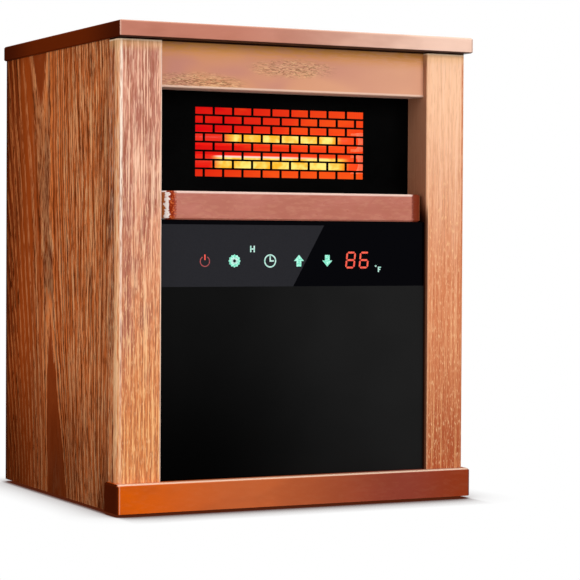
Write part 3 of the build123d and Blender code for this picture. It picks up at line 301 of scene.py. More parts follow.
def wood_panel():
    """Flat-sawn figure of nested arches, with fine pores along the rings."""
    shade = Shade("wood_panel", Roughness=0.7, Specular_IOR_Level=0.0)
    x, y, z = shade.axes()
    fine = shade.noise(450, (1, 1, 0.04), 4.0, 0.65)
    tick = shade.noise(560, (1, 1, 0.16), 3.0, 0.6, shift=(0.3, 0.1, 0.7))
    drift = shade.noise(16, (1, 1, 0.3), 2.0)
    swayed = shade.plus(y, shade.times(shade.minus(shade.noise(8, (1, 1, 0.7)), 0.5), FIGURE_SWAY))
    rings = figure_rings(shade, swayed, z, tick)
    band = shade.math("FRACT", rings)
    # front, and the colours mixed by it, lighten towards the board's front: partly wood tone, partly painted
    # light falling off towards the back.
    front = shade.between(y, SIDE_HIGH.y, FRONT_TONE_AND_LIGHT_Y)
    plain = shade.between_mm(shade.size(shade.minus(swayed, PLAIN_BAND_Y)), 20, 13, 0.0, 0.8)
    open_grain = panel_openness(shade, y, rings, band, plain)
    body = shade.mix(front, srgb(132, 50, 15), srgb(216, 112, 54))
    body = shade.over(body, srgb(162, 68, 20), plain)
    body = shade.over(body, srgb(186, 80, 26), shade.between(drift, 0.42, 0.62), 0.5)
    dark = shade.mix(front, srgb(40, 13, 3), srgb(78, 28, 11))
    pale = shade.mix(front, srgb(206, 114, 58), srgb(255, 188, 132))
    colour = panel_pores(shade, body, dark, pale, open_grain, fine, tick, ring_lines(shade, x, z, rings))
    colour = panel_folds(shade, colour, y, rings, open_grain)
    early = shade.times(shade.window(band, 0.0, 0.05, 0.24, 0.46), shade.between(tick, 0.40, 0.58))
    colour = shade.over(colour, pale, early, shade.between(front, 0, 1, 0.8, 0.35))
    colour = shade.over(colour, srgb(140, 54, 18), shade.between(rings, 0.06, -0.04, 0.0, 0.7))
    shade.paint(panel_shades(shade, colour, y, z, drift, fine))
    shade.bump(fine, 0.25)
    return shade.material


# Front posts, with spans of height in metres

LEFT_TONE_SPAN = (0.36, 0.06)
MAUVE_SPAN = (0.06, 0.18)
RIGHT_UPPER_SPAN = (0.37, 0.17)
RIGHT_LOWER_SPAN = (0.17, 0.02)
PALE_SPAN = (0.30, 0.06)
FLECK_SPAN = (0.36, 0.22)
# Heights over which the painted highlight and shade on the posts' outer edges strengthen.
CREST_HIGHLIGHT_SPAN = (0.08, 0.30)


def post_body(shade, z, right):
    """Clouded mauve to orange on the left post, plain and darker towards its foot on the right one."""
    cloud = shade.between(shade.noise(60, (1, 1, 0.3)), 0.42, 0.60)
    left_body = shade.mix(shade.between(z, *LEFT_TONE_SPAN), srgb(217, 151, 128), srgb(222, 136, 80))
    left_body = shade.over(left_body, srgb(172, 104, 88), cloud, shade.between(z, *MAUVE_SPAN), 0.85)
    right_body = shade.mix(shade.between(z, *RIGHT_UPPER_SPAN), srgb(248, 196, 158), srgb(214, 132, 90))
    right_body = shade.over(right_body, srgb(172, 84, 50), shade.between(z, *RIGHT_LOWER_SPAN))
    return shade.mix(right, left_body, right_body)


def post_lines(shade, body, dark, pale, calm):
    """Long dark and pale lines, and a few pale veins."""
    line = shade.noise(760, (1, 1, 0.012), 1.5, shift=(0.9, 0.5, 0.2))
    vein = shade.noise(70, (1, 1, 0.02), 1.0, shift=(0.3, 0.1, 0.7))
    return shade.coats(body, [
        (dark, shade.between(line, 0.47, 0.36, 0.0, 0.6), calm),
        (pale, shade.between(line, 0.53, 0.64, 0.0, 0.75), calm),
        (pale, shade.threads(vein, 0.012, 0.6), calm),
    ])


def post_flank(shade, colour, from_side, from_front):
    """Bright film turned round the outer edge, and darker film past its seam."""
    flank = shade.times(shade.between_mm(from_side, 3, 1.2), shade.between_mm(from_front, 0.9, 1.8))
    streak = shade.between(shade.noise(420, (1, 1, 0.06), shift=(0.2, 0.8, 0.1)), 0.40, 0.58)
    past_seam = shade.between_mm(from_front, 7, 9, 0.0, 0.9)
    return shade.coats(colour, [
        (shade.mix(streak, srgb(224, 132, 78), srgb(255, 198, 148)), flank),
        (shade.mix(streak, srgb(94, 32, 10), srgb(212, 114, 60)), flank, past_seam),
    ])


def post_grit(shade, colour, z, right, dark, pale, calm, grit):
    """Short dark and pale dashes, and pale flecks that thin out upwards."""
    fleck = shade.between(shade.noise(1150, (1, 1, 0.15), 2.0, shift=(0.4, 0.6, 0.3)), 0.56, 0.68)
    lower = shade.between(z, *FLECK_SPAN, 0.2, 1.0)
    return shade.coats(colour, [
        (dark, shade.between(grit, 0.46, 0.34, 0.0, 0.5), calm),
        (pale, shade.between(grit, 0.55, 0.66, 0.0, 0.6), calm),
        (srgb(255, 212, 160), fleck, shade.between(right, 0, 1, 0.4, 0.6), lower),
    ])


def post_crest_highlight(shade, colour, z, right, from_side, from_front, grit):
    """Outer front edge: a painted highlight on the left post, painted shade on the right one."""
    crest = shade.times(shade.between_mm(from_side, 1.6, 2.2), shade.between_mm(from_side, 4.2, 3.2))
    crest = shade.times(crest, shade.between_mm(from_front, 1.8, 1.2))
    highlight_share = shade.times(shade.between(grit, 0.38, 0.52, 0.3, 1.0), shade.between(z, *CREST_HIGHLIGHT_SPAN, 0.25, 0.9))
    return shade.over(colour, shade.mix(right, srgb(255, 238, 218), srgb(196, 104, 64)), crest, highlight_share)


def post_inner_edge(shade, colour, z, right, from_inside, from_front):
    """Edge beside the opening: a painted highlight on the left post, a pale painted highlight line and
    painted shade on the right one, with painted shade on the inner faces.
    """
    under_rail = shade.between(z, RAIL_HIGH.z, RAIL_LOW.z)
    inner = shade.times(shade.between_mm(from_inside, 1.6, 0.6), shade.between_mm(from_front, 1.6, 0.8))
    jamb = shade.times(shade.between_mm(from_inside, 0.6, 0.2), shade.between_mm(from_front, 1.0, 2.0))
    jamb_painted_shade = shade.mix(under_rail, srgb(116, 58, 30), srgb(48, 18, 8))
    return shade.coats(colour, [
        # Painted highlight along the left post's inner edge.
        (srgb(248, 222, 204), inner, shade.between(right, 0, 1, 0.75, 0.0)),
        # Pale painted highlight line near the right post's inner edge.
        (srgb(240, 184, 144), shade.between_mm(from_inside, 3.2, 2.4), right, 0.35),
        # Painted shade on the right post's inner edge below the rail.
        (srgb(66, 28, 14), shade.between_mm(from_inside, 1.9, 1.3), right, under_rail, 0.9),
        # Painted shade on the inner faces, deeper below the rail.
        (jamb_painted_shade, jamb, shade.between(under_rail, 0, 1, 0.7, 0.95)),
    ])


def post_head(shade, colour, from_top):
    """Gold under the top board, then a painted highlight line and a line of painted shade."""
    return shade.coats(colour, [
        (srgb(240, 188, 128), shade.between_mm(from_top, 12, 3, 0.0, 0.45)),
        # Painted highlight line on the post's top arris.
        (srgb(255, 232, 200), shade.between_mm(from_top, 2.8, 1.8, 0.0, 0.6)),
        # Painted shade under the top board.
        (srgb(34, 13, 7), shade.between_mm(from_top, 1.4, 0.8)),
    ])


def wood_frame():
    """Paler posts, with thin close streaks, a painted highlight on the left post's outer corner and painted
    shade under the top board.
    """
    shade = Shade("wood_frame", Roughness=0.6, Specular_IOR_Level=0.0)
    x, y, z = shade.axes()
    right = shade.right_half(x)
    from_side = shade.minus(-STILE_LOW.x, shade.size(x))
    from_inside = shade.plus(shade.size(x), STILE_HIGH.x)
    from_front = shade.minus(y, STILE_LOW.y)
    from_top = shade.minus(STILE_HIGH.z, z)
    grit = shade.noise(1250, (1, 1, 0.07), 1.5)
    calm = shade.between(right, 0, 1, 1.0, 0.35)
    dark = shade.mix(right, srgb(152, 86, 60), srgb(150, 66, 36))
    pale = shade.mix(shade.between(z, *PALE_SPAN), srgb(252, 208, 178), srgb(255, 200, 138))
    colour = post_lines(shade, post_body(shade, z, right), dark, pale, calm)
    colour = post_flank(shade, colour, from_side, from_front)
    colour = post_grit(shade, colour, z, right, dark, pale, calm, grit)
    colour = post_crest_highlight(shade, colour, z, right, from_side, from_front, grit)
    colour = post_inner_edge(shade, colour, z, right, from_inside, from_front)
    shade.paint(post_head(shade, colour, from_top))
    shade.bump(grit, 0.25)
    return shade.material


# Header board, with its patches of grain as places and half sizes in metres

HEADER_TALL = HEADER_HIGH.z - HEADER_LOW.z
GRAIN_PATCHES = (
    (-0.090, HEADER_LOW.z + 0.10 * HEADER_TALL, 0.046, 0.24 * HEADER_TALL),
    (-0.004, HEADER_LOW.z + 0.50 * HEADER_TALL, 0.040, 0.20 * HEADER_TALL),
)
HEADER_STAIN_SPAN = (0.10, -0.02)


def grain_patch(shade, x, z, place):
    """1 inside an uneven lens-shaped patch."""
    at_x, at_z, half_long, half_tall = place
    along = shade.math("DIVIDE", shade.minus(x, at_x), half_long)
    across = shade.math("DIVIDE", shade.minus(z, at_z), half_tall)
    squares = shade.plus(shade.times(along, along), shade.times(across, across))
    ragged = shade.times(shade.noise(120, (0.4, 1, 1)), 1.4)
    return shade.between(shade.plus(squares, ragged), 2.1, 0.7)


def wood_header():
    """Header board: smooth, with clouded stain, gold along its top, patches of fine grain, a painted
    highlight along its foot and painted shade under the top board.
    """
    shade = Shade("wood_header", Roughness=0.45, Specular_IOR_Level=0.05)
    x, _, z = shade.axes()
    from_top = shade.minus(HEADER_HIGH.z, z)
    from_foot = shade.minus(z, HEADER_LOW.z)
    dash = shade.noise(620, (0.16, 1, 1), 2.0)
    wisp = shade.noise(760, (0.14, 1, 1), 2.0, shift=(0.7, 0.2, 0.4))
    cloud = shade.between(shade.noise(26, (0.6, 1, 1.2), 1.5), 0.36, 0.62)
    # Lighter towards the right: partly stain, partly painted sheen.
    body = shade.mix(shade.between(x, HEADER_LOW.x, HEADER_HIGH.x), srgb(206, 140, 106), srgb(224, 164, 130))
    patch = shade.math("MAXIMUM", *[grain_patch(shade, x, z, place) for place in GRAIN_PATCHES])
    shade.paint(shade.coats(body, [
        (srgb(196, 132, 118), cloud, shade.between(x, *HEADER_STAIN_SPAN, 0.25, 0.85)),
        (srgb(212, 144, 74), shade.between_mm(from_top, 18, 3), shade.between(dash, 0.36, 0.60, 0.6, 1.0)),
        (srgb(206, 152, 98), patch, 0.3),
        (srgb(244, 206, 152), patch, shade.threads(wisp, 0.05, 0.5)),
        (srgb(112, 66, 34), patch, shade.threads(dash, 0.05, 0.6)),
        # Painted highlight along the foot.
        (srgb(240, 208, 188), shade.between_mm(from_foot, 2.4, 1.4, 0.0, 0.7)),
        # Painted shade under the top board.
        (srgb(34, 13, 7), shade.between_mm(from_top, 1.4, 0.8)),
    ]))
    shade.bump(dash, 0.1)
    return shade.material


# Lacquered boards, with their stain and painted light at places along X

# Top board: lighter towards the right, partly stain, partly painted sheen.
TOP_STAIN_AND_SHEEN = (
    (-0.080, srgb(188, 120, 100)),
    (0.166, srgb(238, 200, 180)),
)
# Plinth: orange at the left to dark red-brown at the right, partly stain, partly painted light falling off.
PLINTH_STAIN_AND_LIGHT = (
    (-0.165, srgb(216, 92, 2)),
    (-0.045, srgb(194, 97, 51)),
    (0.100, srgb(140, 60, 44)),
    (0.160, srgb(142, 53, 22)),
)
END_DARK_SPAN = (0.05, 0.14)


def stain_and_light_along(shade, x, stops):
    """Stain and painted light that change along a board, through the colours of its places."""
    (place, colour), *others = stops
    for next_place, next_colour in others:
        colour = shade.mix(shade.between(x, place, next_place), colour, next_colour)
        place = next_place
    return colour


def lacquer_noise(shade):
    """The slow drift and the fine grain of a lacquered board."""
    return shade.noise(24, (0.6, 1, 1.4)), shade.noise(420, (0.3, 1, 1), 2.0)


def board_edges(shade, stain, axes, low, high, sideways, rim, foot_shade_line):
    """Painted highlight on the top rim, on the front corners a painted highlight at the left and painted
    shade at the right, and a painted shade line at the foot.
    """
    x, y, z = axes
    from_top = shade.minus(high.z, z)
    from_foot = shade.minus(z, low.z)
    from_front = shade.minus(y, low.y)
    from_end = shade.minus(high.x, shade.size(x))
    upper = shade.times(shade.between_mm(from_top, 1.1, 0.6), shade.between_mm(from_front, 9, 4))
    turning = shade.window(sideways, 0.28, 0.34, 0.42, 0.50)
    corner = shade.between_mm(shade.plus(from_end, from_front), 1.5, 0.8)
    corner = shade.math("MAXIMUM", corner, turning)
    corner_highlight_and_shade = shade.mix(shade.right_half(x), srgb(246, 214, 192), srgb(84, 24, 10))
    return shade.coats(stain, [
        # Painted highlight on the top rim.
        (srgb(255, 226, 198), upper, rim),
        # Painted highlight on the left front corners, painted shade on the right ones.
        (corner_highlight_and_shade, corner, 0.32),
        # Painted shade line at the foot.
        (srgb(44, 15, 7), shade.between_mm(from_foot, 1.1, 0.5, 0.0, foot_shade_line)),
    ])


def smooth_wood(name, node, stops, end_grain_and_shade, gloss, rim, foot_shade_line):
    """Lacquered solid wood: straight grain on top, dark end grain partly painted shade, painted highlights
    on its rims.
    """
    shade = Shade(name)
    low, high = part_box(node)
    axes = shade.axes()
    facing = shade.facing()
    sideways = shade.size(facing["X"])
    upward = shade.between(facing["Z"], 0.7, 0.95)
    ends = shade.between(sideways, 0.5, 0.7)
    drift, fine = lacquer_noise(shade)
    grain = shade.noise(520, (0.02, 1, 1), shift=(0.5, 0.2, 0.9))
    # Stain with painted light along X, then drift and grain.
    stain = shade.coats(stain_and_light_along(shade, axes["X"], stops), [
        (srgb(132, 60, 34), shade.between(drift, 0.42, 0.68, 0.0, 0.22)),
        (srgb(236, 180, 140), shade.between(fine, 0.45, 0.7, 0.0, 0.02)),
        (srgb(112, 50, 28), shade.between(grain, 0.50, 0.34, 0.0, 0.5), upward),
    ])
    stain = board_edges(shade, stain, axes, low, high, sideways, rim, foot_shade_line)
    # Dark end faces: partly real end grain, partly painted shade, darkest towards their front and back.
    dark_end = shade.between(shade.size(axes["Y"]), *END_DARK_SPAN)
    end_stain = shade.mix(dark_end, end_grain_and_shade, srgb(78, 26, 8))
    shade.paint(shade.mix(ends, stain, end_stain))
    dull = shade.math("MAXIMUM", ends, upward)
    shade.set("Specular IOR Level", shade.between(dull, 0.0, 0.5, gloss, 0.0))
    shade.set("Roughness", shade.between(drift, 0.3, 0.7, 0.26, 0.36))
    shade.bump(fine, 0.05)
    return shade.material


def rail_turn(shade):
    """How far a surface of the rail faces sideways, ragged at its rounded ends."""
    sideways = shade.size(shade.facing()["X"])
    jag = shade.times(shade.minus(shade.noise(520), 0.5), 0.5)
    return shade.plus(sideways, shade.times(jag, shade.between(sideways, 0.0, 0.2)))


def mid_rail():
    """Lacquered rail with rounded ends: dark stain at the turn, a painted highlight on the left end's crown
    and along its top front edge.
    """
    shade = Shade("wood_mid_rail")
    x, y, z = shade.axes()
    drift, fine = lacquer_noise(shade)
    from_edge = shade.plus(shade.minus(RAIL_HIGH.z, z), shade.minus(y, RAIL_LOW.y))
    turn = rail_turn(shade)
    right = shade.right_half(x)
    gold = shade.between(shade.noise(760, detail=2.0, shift=(0.2, 0.4, 0.6)), 0.50, 0.62, 0.0, 0.8)
    left_stain = shade.mix(gold, srgb(138, 40, 12), srgb(222, 112, 58))
    crown = shade.times(shade.window(turn, 0.42, 0.48, 0.64, 0.70), shade.minus(1.0, right))
    body = shade.mix(shade.between(drift, 0.35, 0.65), srgb(184, 106, 88), srgb(170, 90, 68))
    shade.paint(shade.coats(body, [
        (srgb(236, 180, 140), shade.between(fine, 0.45, 0.7), 0.10),
        # Painted highlight along the top front edge.
        (srgb(250, 222, 208), shade.between_mm(from_edge, 2.4, 1.0), 0.8),
        (shade.mix(right, left_stain, srgb(122, 48, 28)), shade.between(turn, 0.01, 0.12)),
        (shade.mix(right, srgb(190, 104, 52), srgb(150, 78, 48)), shade.between(turn, 0.64, 0.72)),
        # Painted highlight on the left end's crown.
        (srgb(255, 240, 232), crown),
    ]))
    shade.set("Specular IOR Level", shade.between(turn, 0.05, 0.25, 0.4, 0.02))
    shade.set("Roughness", shade.between(drift, 0.3, 0.7, 0.22, 0.32))
    shade.bump(fine, 0.05)
    return shade.material


def plain_board():
    """Bare particle board of the base and the battens."""
    shade = Shade("plain_board", Roughness=0.8)
    chips = shade.noise(420, detail=4.0)
    chip = shade.between(chips, 0.35, 0.65)
    shade.paint(shade.mix(chip, srgb(150, 116, 80), srgb(198, 164, 122)))
    shade.bump(chips, 0.4)
    return shade.material


# Front panels

# Bounds of the painted reflection on the control glass.
REFLECTION_TOP = GLASS_HIGH.z - 3.7 * MM
REFLECTION_FOOT_X = -2.4 * MM
REFLECTION_SLOPE = 30.0 / 53.2
PANEL_DARK_WIDTH = 30 * MM


def control_glass():
    """Black glass with a painted grey reflection over its left part, up to a slanting line and short of a
    black band along its top.
    """
    shade = Shade("control_glass", Roughness=0.12, Specular_IOR_Level=0.02)
    x, _, z = shade.axes()
    line = shade.plus(shade.times(shade.minus(z, GLASS_LOW.z), REFLECTION_SLOPE), REFLECTION_FOOT_X)
    left = shade.math("LESS_THAN", x, line)
    below = shade.math("LESS_THAN", z, REFLECTION_TOP)
    grain = shade.noise(900, detail=1.0)
    # Painted reflection over the left part of the glass.
    painted_reflection = shade.mix(grain, srgb(35, 35, 39), srgb(41, 41, 45))
    shade.paint(shade.over(srgb(2, 2, 5), painted_reflection, left, below))
    return shade.material


def lower_panel():
    """Gloss black sheet with a painted reflection that makes it greyer towards its upper right."""
    shade = Shade("gloss_black", Specular_IOR_Level=0.01)
    low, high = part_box("lower_front_panel")
    x, _, z = shade.axes()
    cloud = shade.noise(12, detail=2.0)
    # Painted reflection, greyer upwards and to the right.
    upward = shade.between(z, low.z, high.z, 0.0, 0.36)
    rightward = shade.between(x, low.x + PANEL_DARK_WIDTH, high.x, 0.0, 0.80)
    painted_reflection_share = shade.times(shade.plus(upward, rightward), shade.between(cloud, 0.2, 0.8, 0.85, 1.15))
    shade.paint(shade.mix(painted_reflection_share, srgb(1, 1, 1), srgb(30, 30, 30)))
    shade.set("Roughness", shade.between(cloud, 0.3, 0.7, 0.10, 0.14))
    return shade.material


def black_panel(name, shades, roughness, gloss, scale, bump):
    """Black sheet or moulding with a fine surface grain."""
    shade = Shade(name, Specular_IOR_Level=gloss)
    grain = shade.noise(scale)
    cloud = shade.noise(20, detail=2.0)
    shade.paint(shade.mix(shade.between(cloud, 0.3, 0.7), *shades))
    shade.set("Roughness", shade.between(grain, 0.3, 0.7, roughness * 0.85, roughness * 1.15))
    shade.bump(grain, bump)
    return shade.material


# Heat behind the grille, with the tubes' light painted as glow on the sheet, core and caps

GLOW_LEFT = REFLECTOR_LOW.x + 20 * MM
LIT_CLOUD_FULL_X = 20 * MM
LOW_GLOW_SPAN = (0.306, 0.278)
GLEAM_DROP = 1.8 * MM
GLEAM_END_X = 66 * MM


def tube_lit_sheet():
    """Sheet and core with the tubes' red light painted on as glow: crimson at the left, more orange at the
    right.
    """
    shade = Shade("tube_lit_sheet", Roughness=0.5, Specular_IOR_Level=0.0)
    x, _, z = shade.axes()
    cloud = shade.noise(46, (0.7, 1, 1.3))
    lit_cloud = shade.between(cloud, 0.48, 0.70)
    red = shade.mix(shade.between(x, GLOW_LEFT, REFLECTOR_HIGH.x), srgb(226, 8, 16), srgb(252, 72, 26))
    # Dark red base and glow both paint the tubes' red light on the sheet.
    shade.paint(shade.mix(cloud, srgb(60, 10, 8), srgb(84, 16, 10)))
    shade.glow(shade.coats(red, [
        (srgb(255, 92, 24), lit_cloud, shade.between(x, GLOW_LEFT, LIT_CLOUD_FULL_X, 0.1, 0.5)),
        (srgb(255, 100, 26), shade.between(z, *LOW_GLOW_SPAN), shade.between(x, GLOW_LEFT, 0.0, 0.2, 0.45)),
        (srgb(176, 8, 24), shade.between(x, GLOW_LEFT, REFLECTOR_LOW.x)),
    ]), 0.9)
    return shade.material


def tube_gleam(shade, x, z, tube_top, lit_from):
    """A painted highlight along the upper side of a tube."""
    off_line = shade.size(shade.minus(z, tube_top - GLEAM_DROP))
    gleam = shade.times(shade.between_mm(off_line, 1.1, 0.5), shade.between(x, GLEAM_END_X, 0.0))
    return shade.times(gleam, shade.between(x, lit_from + 3 * MM, lit_from + 11 * MM))


def quartz(name, node, half_core, core_shift, lit_from, lit_to, gleam_share):
    """Tube that glows yellow along its core and red towards its ends and rim."""
    shade = Shade(name, Roughness=0.2, Specular_IOR_Level=0.1)
    low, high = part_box(node)
    x, _, z = shade.axes()
    off_core = shade.size(shade.minus(z, (low.z + high.z) / 2 + core_shift))
    core = shade.between(off_core, half_core, half_core * 0.7)
    lit = shade.window(x, lit_from, lit_from + 14 * MM, lit_to - 12 * MM, lit_to)
    flicker = shade.between(shade.noise(90, detail=2.0), 0.35, 0.65)
    hot = shade.mix(flicker, srgb(255, 240, 124), srgb(255, 186, 40))
    rim = shade.mix(shade.between(x, GLOW_LEFT, REFLECTOR_HIGH.x), srgb(224, 10, 14), srgb(250, 70, 26))
    colour = shade.over(rim, hot, core, lit)
    # Painted highlight along the tube's upper side.
    gleam = tube_gleam(shade, x, z, high.z, lit_from)
    colour = shade.over(colour, srgb(255, 226, 222), gleam, gleam_share)
    shade.paint(srgb(120, 60, 30))
    shade.glow(colour, 1.0)
    return shade.material


def tube_lit_ceramic():
    """White ceramic cap with the tubes' red light painted on as glow."""
    shade = Shade("white_ceramic", Roughness=0.7, Specular_IOR_Level=0.1)
    grain = shade.noise(500)
    shade.paint(shade.mix(grain, srgb(214, 196, 180), srgb(236, 222, 208)))
    # Painted glow of the tubes' red light.
    shade.glow(shade.mix(grain, srgb(240, 70, 40), srgb(255, 120, 70)), 0.7)
    shade.bump(grain, 0.15)
    return shade.material


def element():
    """Ribbon at yellow heat."""
    shade = Shade("element", Roughness=0.6)
    turns = shade.noise(600, (1, 0.2, 0.2), 1.0)
    shade.paint(srgb(90, 70, 60))
    shade.glow(shade.mix(turns, srgb(255, 150, 40), srgb(255, 220, 120)), 1.0)
    return shade.material


# Hidden and rear pieces

MESH_PITCH = 1.6 * MM
BOARD_PATHS = 160


def brushed(name, low, high):
    """Metal sheet with fine drawn lines."""
    shade = Shade(name, Metallic=1.0)
    lines = shade.noise(900, (0.05, 1, 1), 2.0)
    shade.paint(shade.mix(lines, low, high))
    shade.set("Roughness", shade.between(lines, 0.3, 0.7, 0.28, 0.42))
    shade.bump(lines, 0.08)
    return shade.material


def speckled(name, low, high, roughness, bump=0.15):
    """Moulded piece with a faintly uneven colour."""
    shade = Shade(name)
    grain = shade.noise(500)
    shade.paint(shade.mix(shade.between(grain, 0.35, 0.65), low, high))
    shade.set("Roughness", shade.between(grain, 0.3, 0.7, roughness * 0.85, roughness * 1.1))
    shade.bump(grain, bump)
    return shade.material


def filter_mesh():
    """Woven nylon mesh: a grid of threads with dark gaps."""
    shade = Shade("filter_mesh", Roughness=0.7)
    x, _, z = shade.axes()
    waves = [shade.math("SINE", shade.times(axis, 2 * pi / MESH_PITCH)) for axis in (x, z)]
    thread = shade.math("MAXIMUM", *[shade.between(wave, 0.1, 0.6) for wave in waves])
    shade.paint(shade.mix(thread, srgb(6, 6, 6), srgb(64, 64, 66)))
    shade.bump(thread, 0.6)
    return shade.material


def circuit_board():
    """Green board with paler copper paths under its lacquer."""
    shade = Shade("circuit_board", Roughness=0.4)
    paths = shade.node("ShaderNodeTexVoronoi", feature="DISTANCE_TO_EDGE", distance="MANHATTAN")
    shade.put(paths.inputs["Vector"], shade.coords)
    shade.put(paths.inputs["Scale"], BOARD_PATHS)
    path = shade.between(paths.outputs["Distance"], 0.06, 0.03)
    shade.paint(shade.mix(path, srgb(18, 74, 38), srgb(64, 128, 76)))
    return shade.material


# Materials of the CAD nodes

black_plastic = speckled("black_plastic", srgb(20, 20, 21), srgb(32, 32, 33), 0.5)
grille_black = (srgb(1, 1, 1), srgb(4, 4, 4))
rear_black = (srgb(22, 22, 22), srgb(32, 32, 32))
materials = {
    # Both boards take a painted highlight on their top rims; the top board also takes a painted shade line
    # at its foot.
    "top_panel": smooth_wood(
        "wood_top", "top_panel", TOP_STAIN_AND_SHEEN, srgb(112, 40, 9), gloss=0.03, rim=0.3, foot_shade_line=0.95),
    "mid_rail": mid_rail(),
    "plinth_rail": smooth_wood(
        "wood_plinth", "plinth_rail", PLINTH_STAIN_AND_LIGHT, srgb(96, 30, 4), gloss=0.05, rim=0.65, foot_shade_line=0.0),
    "header_rail": wood_header(),
    "outlet_grille": black_panel(
        "grille_black", grille_black, roughness=0.6, gloss=0.01, scale=700, bump=0.05),
    "lower_front_panel": lower_panel(),
    "control_glass": control_glass(),
    "rear_panel": black_panel(
        "rear_black", rear_black, roughness=0.55, gloss=0.4, scale=1400, bump=0.3),
    "filter_mesh": filter_mesh(),
    "rocker_button": speckled("rocker_red", srgb(176, 20, 16), srgb(196, 30, 24), 0.25, bump=0.03),
    "tip_switch_plunger": speckled("plunger_white", srgb(222, 222, 216), srgb(236, 236, 230), 0.4),
    "upper_quartz_tube": quartz(
        "upper_quartz", "upper_quartz_tube", half_core=4.6 * MM, core_shift=0.0,
        lit_from=-50 * MM, lit_to=68 * MM, gleam_share=0.0),
    "lower_quartz_tube": quartz(
        "lower_quartz", "lower_quartz_tube", half_core=6.5 * MM, core_shift=-1.2 * MM,
        lit_from=-60 * MM, lit_to=76 * MM, gleam_share=0.75),
    "heating_elements": element(),
    "tube_end_caps": tube_lit_ceramic(),
    "rubber_feet": speckled("rubber", srgb(20, 20, 20), srgb(34, 34, 34), 0.8, bump=0.3),
    "touch_pads": speckled("contact_pad", srgb(150, 150, 146), srgb(178, 178, 172), 0.7),
    "blower_rotor": brushed("rotor_aluminium", srgb(168, 168, 170), srgb(204, 204, 206)),
    "rotor_shaft": brushed("shaft_steel", srgb(160, 160, 164), srgb(200, 200, 204)),
}
electronics = speckled("dark_electronics", srgb(22, 22, 26), srgb(36, 36, 40), 0.45)
brass = brushed("brass", srgb(176, 132, 62), srgb(214, 172, 98))
sheet_steel = brushed("sheet_steel", srgb(150, 150, 152), srgb(196, 196, 198))
shared = (
    (wood_frame(), ("left_stile", "right_stile")),
    (wood_panel(), ("left_side_panel", "right_side_panel")),
    (plain_board(), ("base_panel", "rear_cleats")),
    (tube_lit_sheet(), ("reflector", "heat_duct", "ptc_core")),
    (circuit_board(), ("control_board", "power_board")),
    (electronics, ("display_module", "relays")),
    (brass, ("tube_terminals", "shaft_bush", "board_standoffs")),
    (sheet_steel, ("heater_stand", "blower_motor", "thermal_cutout", "blower_guide_wall", "blower_tongue",
                   "blower_left_end_plate", "blower_right_end_plate")),
)
for material, names in shared:
    materials.update(dict.fromkeys(names, material))
for name, node in frame["nodes"].items():
    node.data.materials.clear()
    node.data.materials.append(materials.get(name, black_plastic))


# Signs on the control glass and on the rocker, with outlines in millimetres

SIGN_Z = GLASS_LOW.z + 21.45 * MM
PRINT_THICK = 0.05 * MM
WELD = 0.001 * MM
ARC_STEPS = 40
COG_TEETH = 12
COG_STEPS = 8 * COG_TEETH
COG_WAVE = 0.06
DIGIT_WIDTH = 9.2
DIGIT_HEIGHT = 14.4
DIGIT_STROKE = 1.6
DIGIT_GAP = 0.35
DIGIT_SLANT = 0.10
LEVEL_SEGMENTS = {"a": 1, "g": 0, "d": -1}
UPRIGHT_SEGMENTS = {"b": (1, 1), "c": (1, -1), "e": (-1, -1), "f": (-1, 1)}
SEGMENTS = {"8": "abcdefg", "6": "acdefg"}
POWER_X = -84
MODE_X = -57
TIMER_X = -24


def seat(at, right, up):
    """Placement whose X runs right and Y up along a surface, and whose Z stands out of it."""
    return Matrix.Translation(at) @ Matrix((right, up, right.cross(up))).transposed().to_4x4()


GLASS_SEAT = seat(Vector((0, GLASS_LOW.y, SIGN_Z)), Vector((1, 0, 0)), Vector((0, 0, 1)))


def lit_sign(name, low, high):
    """Light of a sign, between two brightnesses."""
    shade = Shade(name, Roughness=0.4)
    cloud = shade.noise(900, detail=1.0)
    shade.paint(srgb(8, 8, 8))
    shade.glow(shade.mix(shade.between(cloud, 0.35, 0.65), low, high), 1.0)
    return shade.material


def make_piece(name, mesh, looks, body):
    """Finished mesh as a piece that rides on a body."""
    bmesh.ops.recalc_face_normals(mesh, faces=mesh.faces)
    if mesh.calc_volume(signed=True) < 0:
        bmesh.ops.reverse_faces(mesh, faces=mesh.faces)
    data = bpy.data.meshes.new(name)
    mesh.to_mesh(data)
    mesh.free()
    for look in looks:
        data.materials.append(look)
    piece = bpy.data.objects.new(name, data)
    bpy.context.scene.collection.objects.link(piece)
    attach(piece, body)


def sign(name, outlines, look, place=GLASS_SEAT, body="cabinet"):
    """Thin printed shapes on a seat, from outlines across and above its middle."""
    mesh = bmesh.new()
    for outline in outlines:
        mesh.faces.new([mesh.verts.new((x * MM, z * MM, 0)) for x, z in outline])
    bmesh.ops.remove_doubles(mesh, verts=mesh.verts, dist=WELD)
    raised = bmesh.ops.extrude_face_region(mesh, geom=mesh.faces[:], use_keep_orig=True)["geom"]
    raised_points = [item for item in raised if isinstance(item, bmesh.types.BMVert)]
    bmesh.ops.translate(mesh, verts=raised_points, vec=(0, 0, PRINT_THICK))
    mesh.transform(place)
    make_piece(name, mesh, [look], body)


def moved(points, x, z):
    """An outline carried to a place."""
    return [(x + px, z + pz) for px, pz in points]


def polar(radius, angle):
    return (radius * cos(angle), radius * sin(angle))


def ring_quads(x, z, turns, rim, hole):
    """Quads round a hole, out to a rim whose radius follows the angle."""
    return [
        moved([polar(rim(a), a), polar(rim(b), b), polar(hole, b), polar(hole, a)], x, z)
        for a, b in zip(turns, turns[1:])
    ]


def arc(x, z, radius, width, start=0.0, end=360.0):
    """A ring or part of one."""
    turns = [radians(start + (end - start) * i / ARC_STEPS) for i in range(ARC_STEPS + 1)]
    return ring_quads(x, z, turns, lambda angle: radius, radius - width)


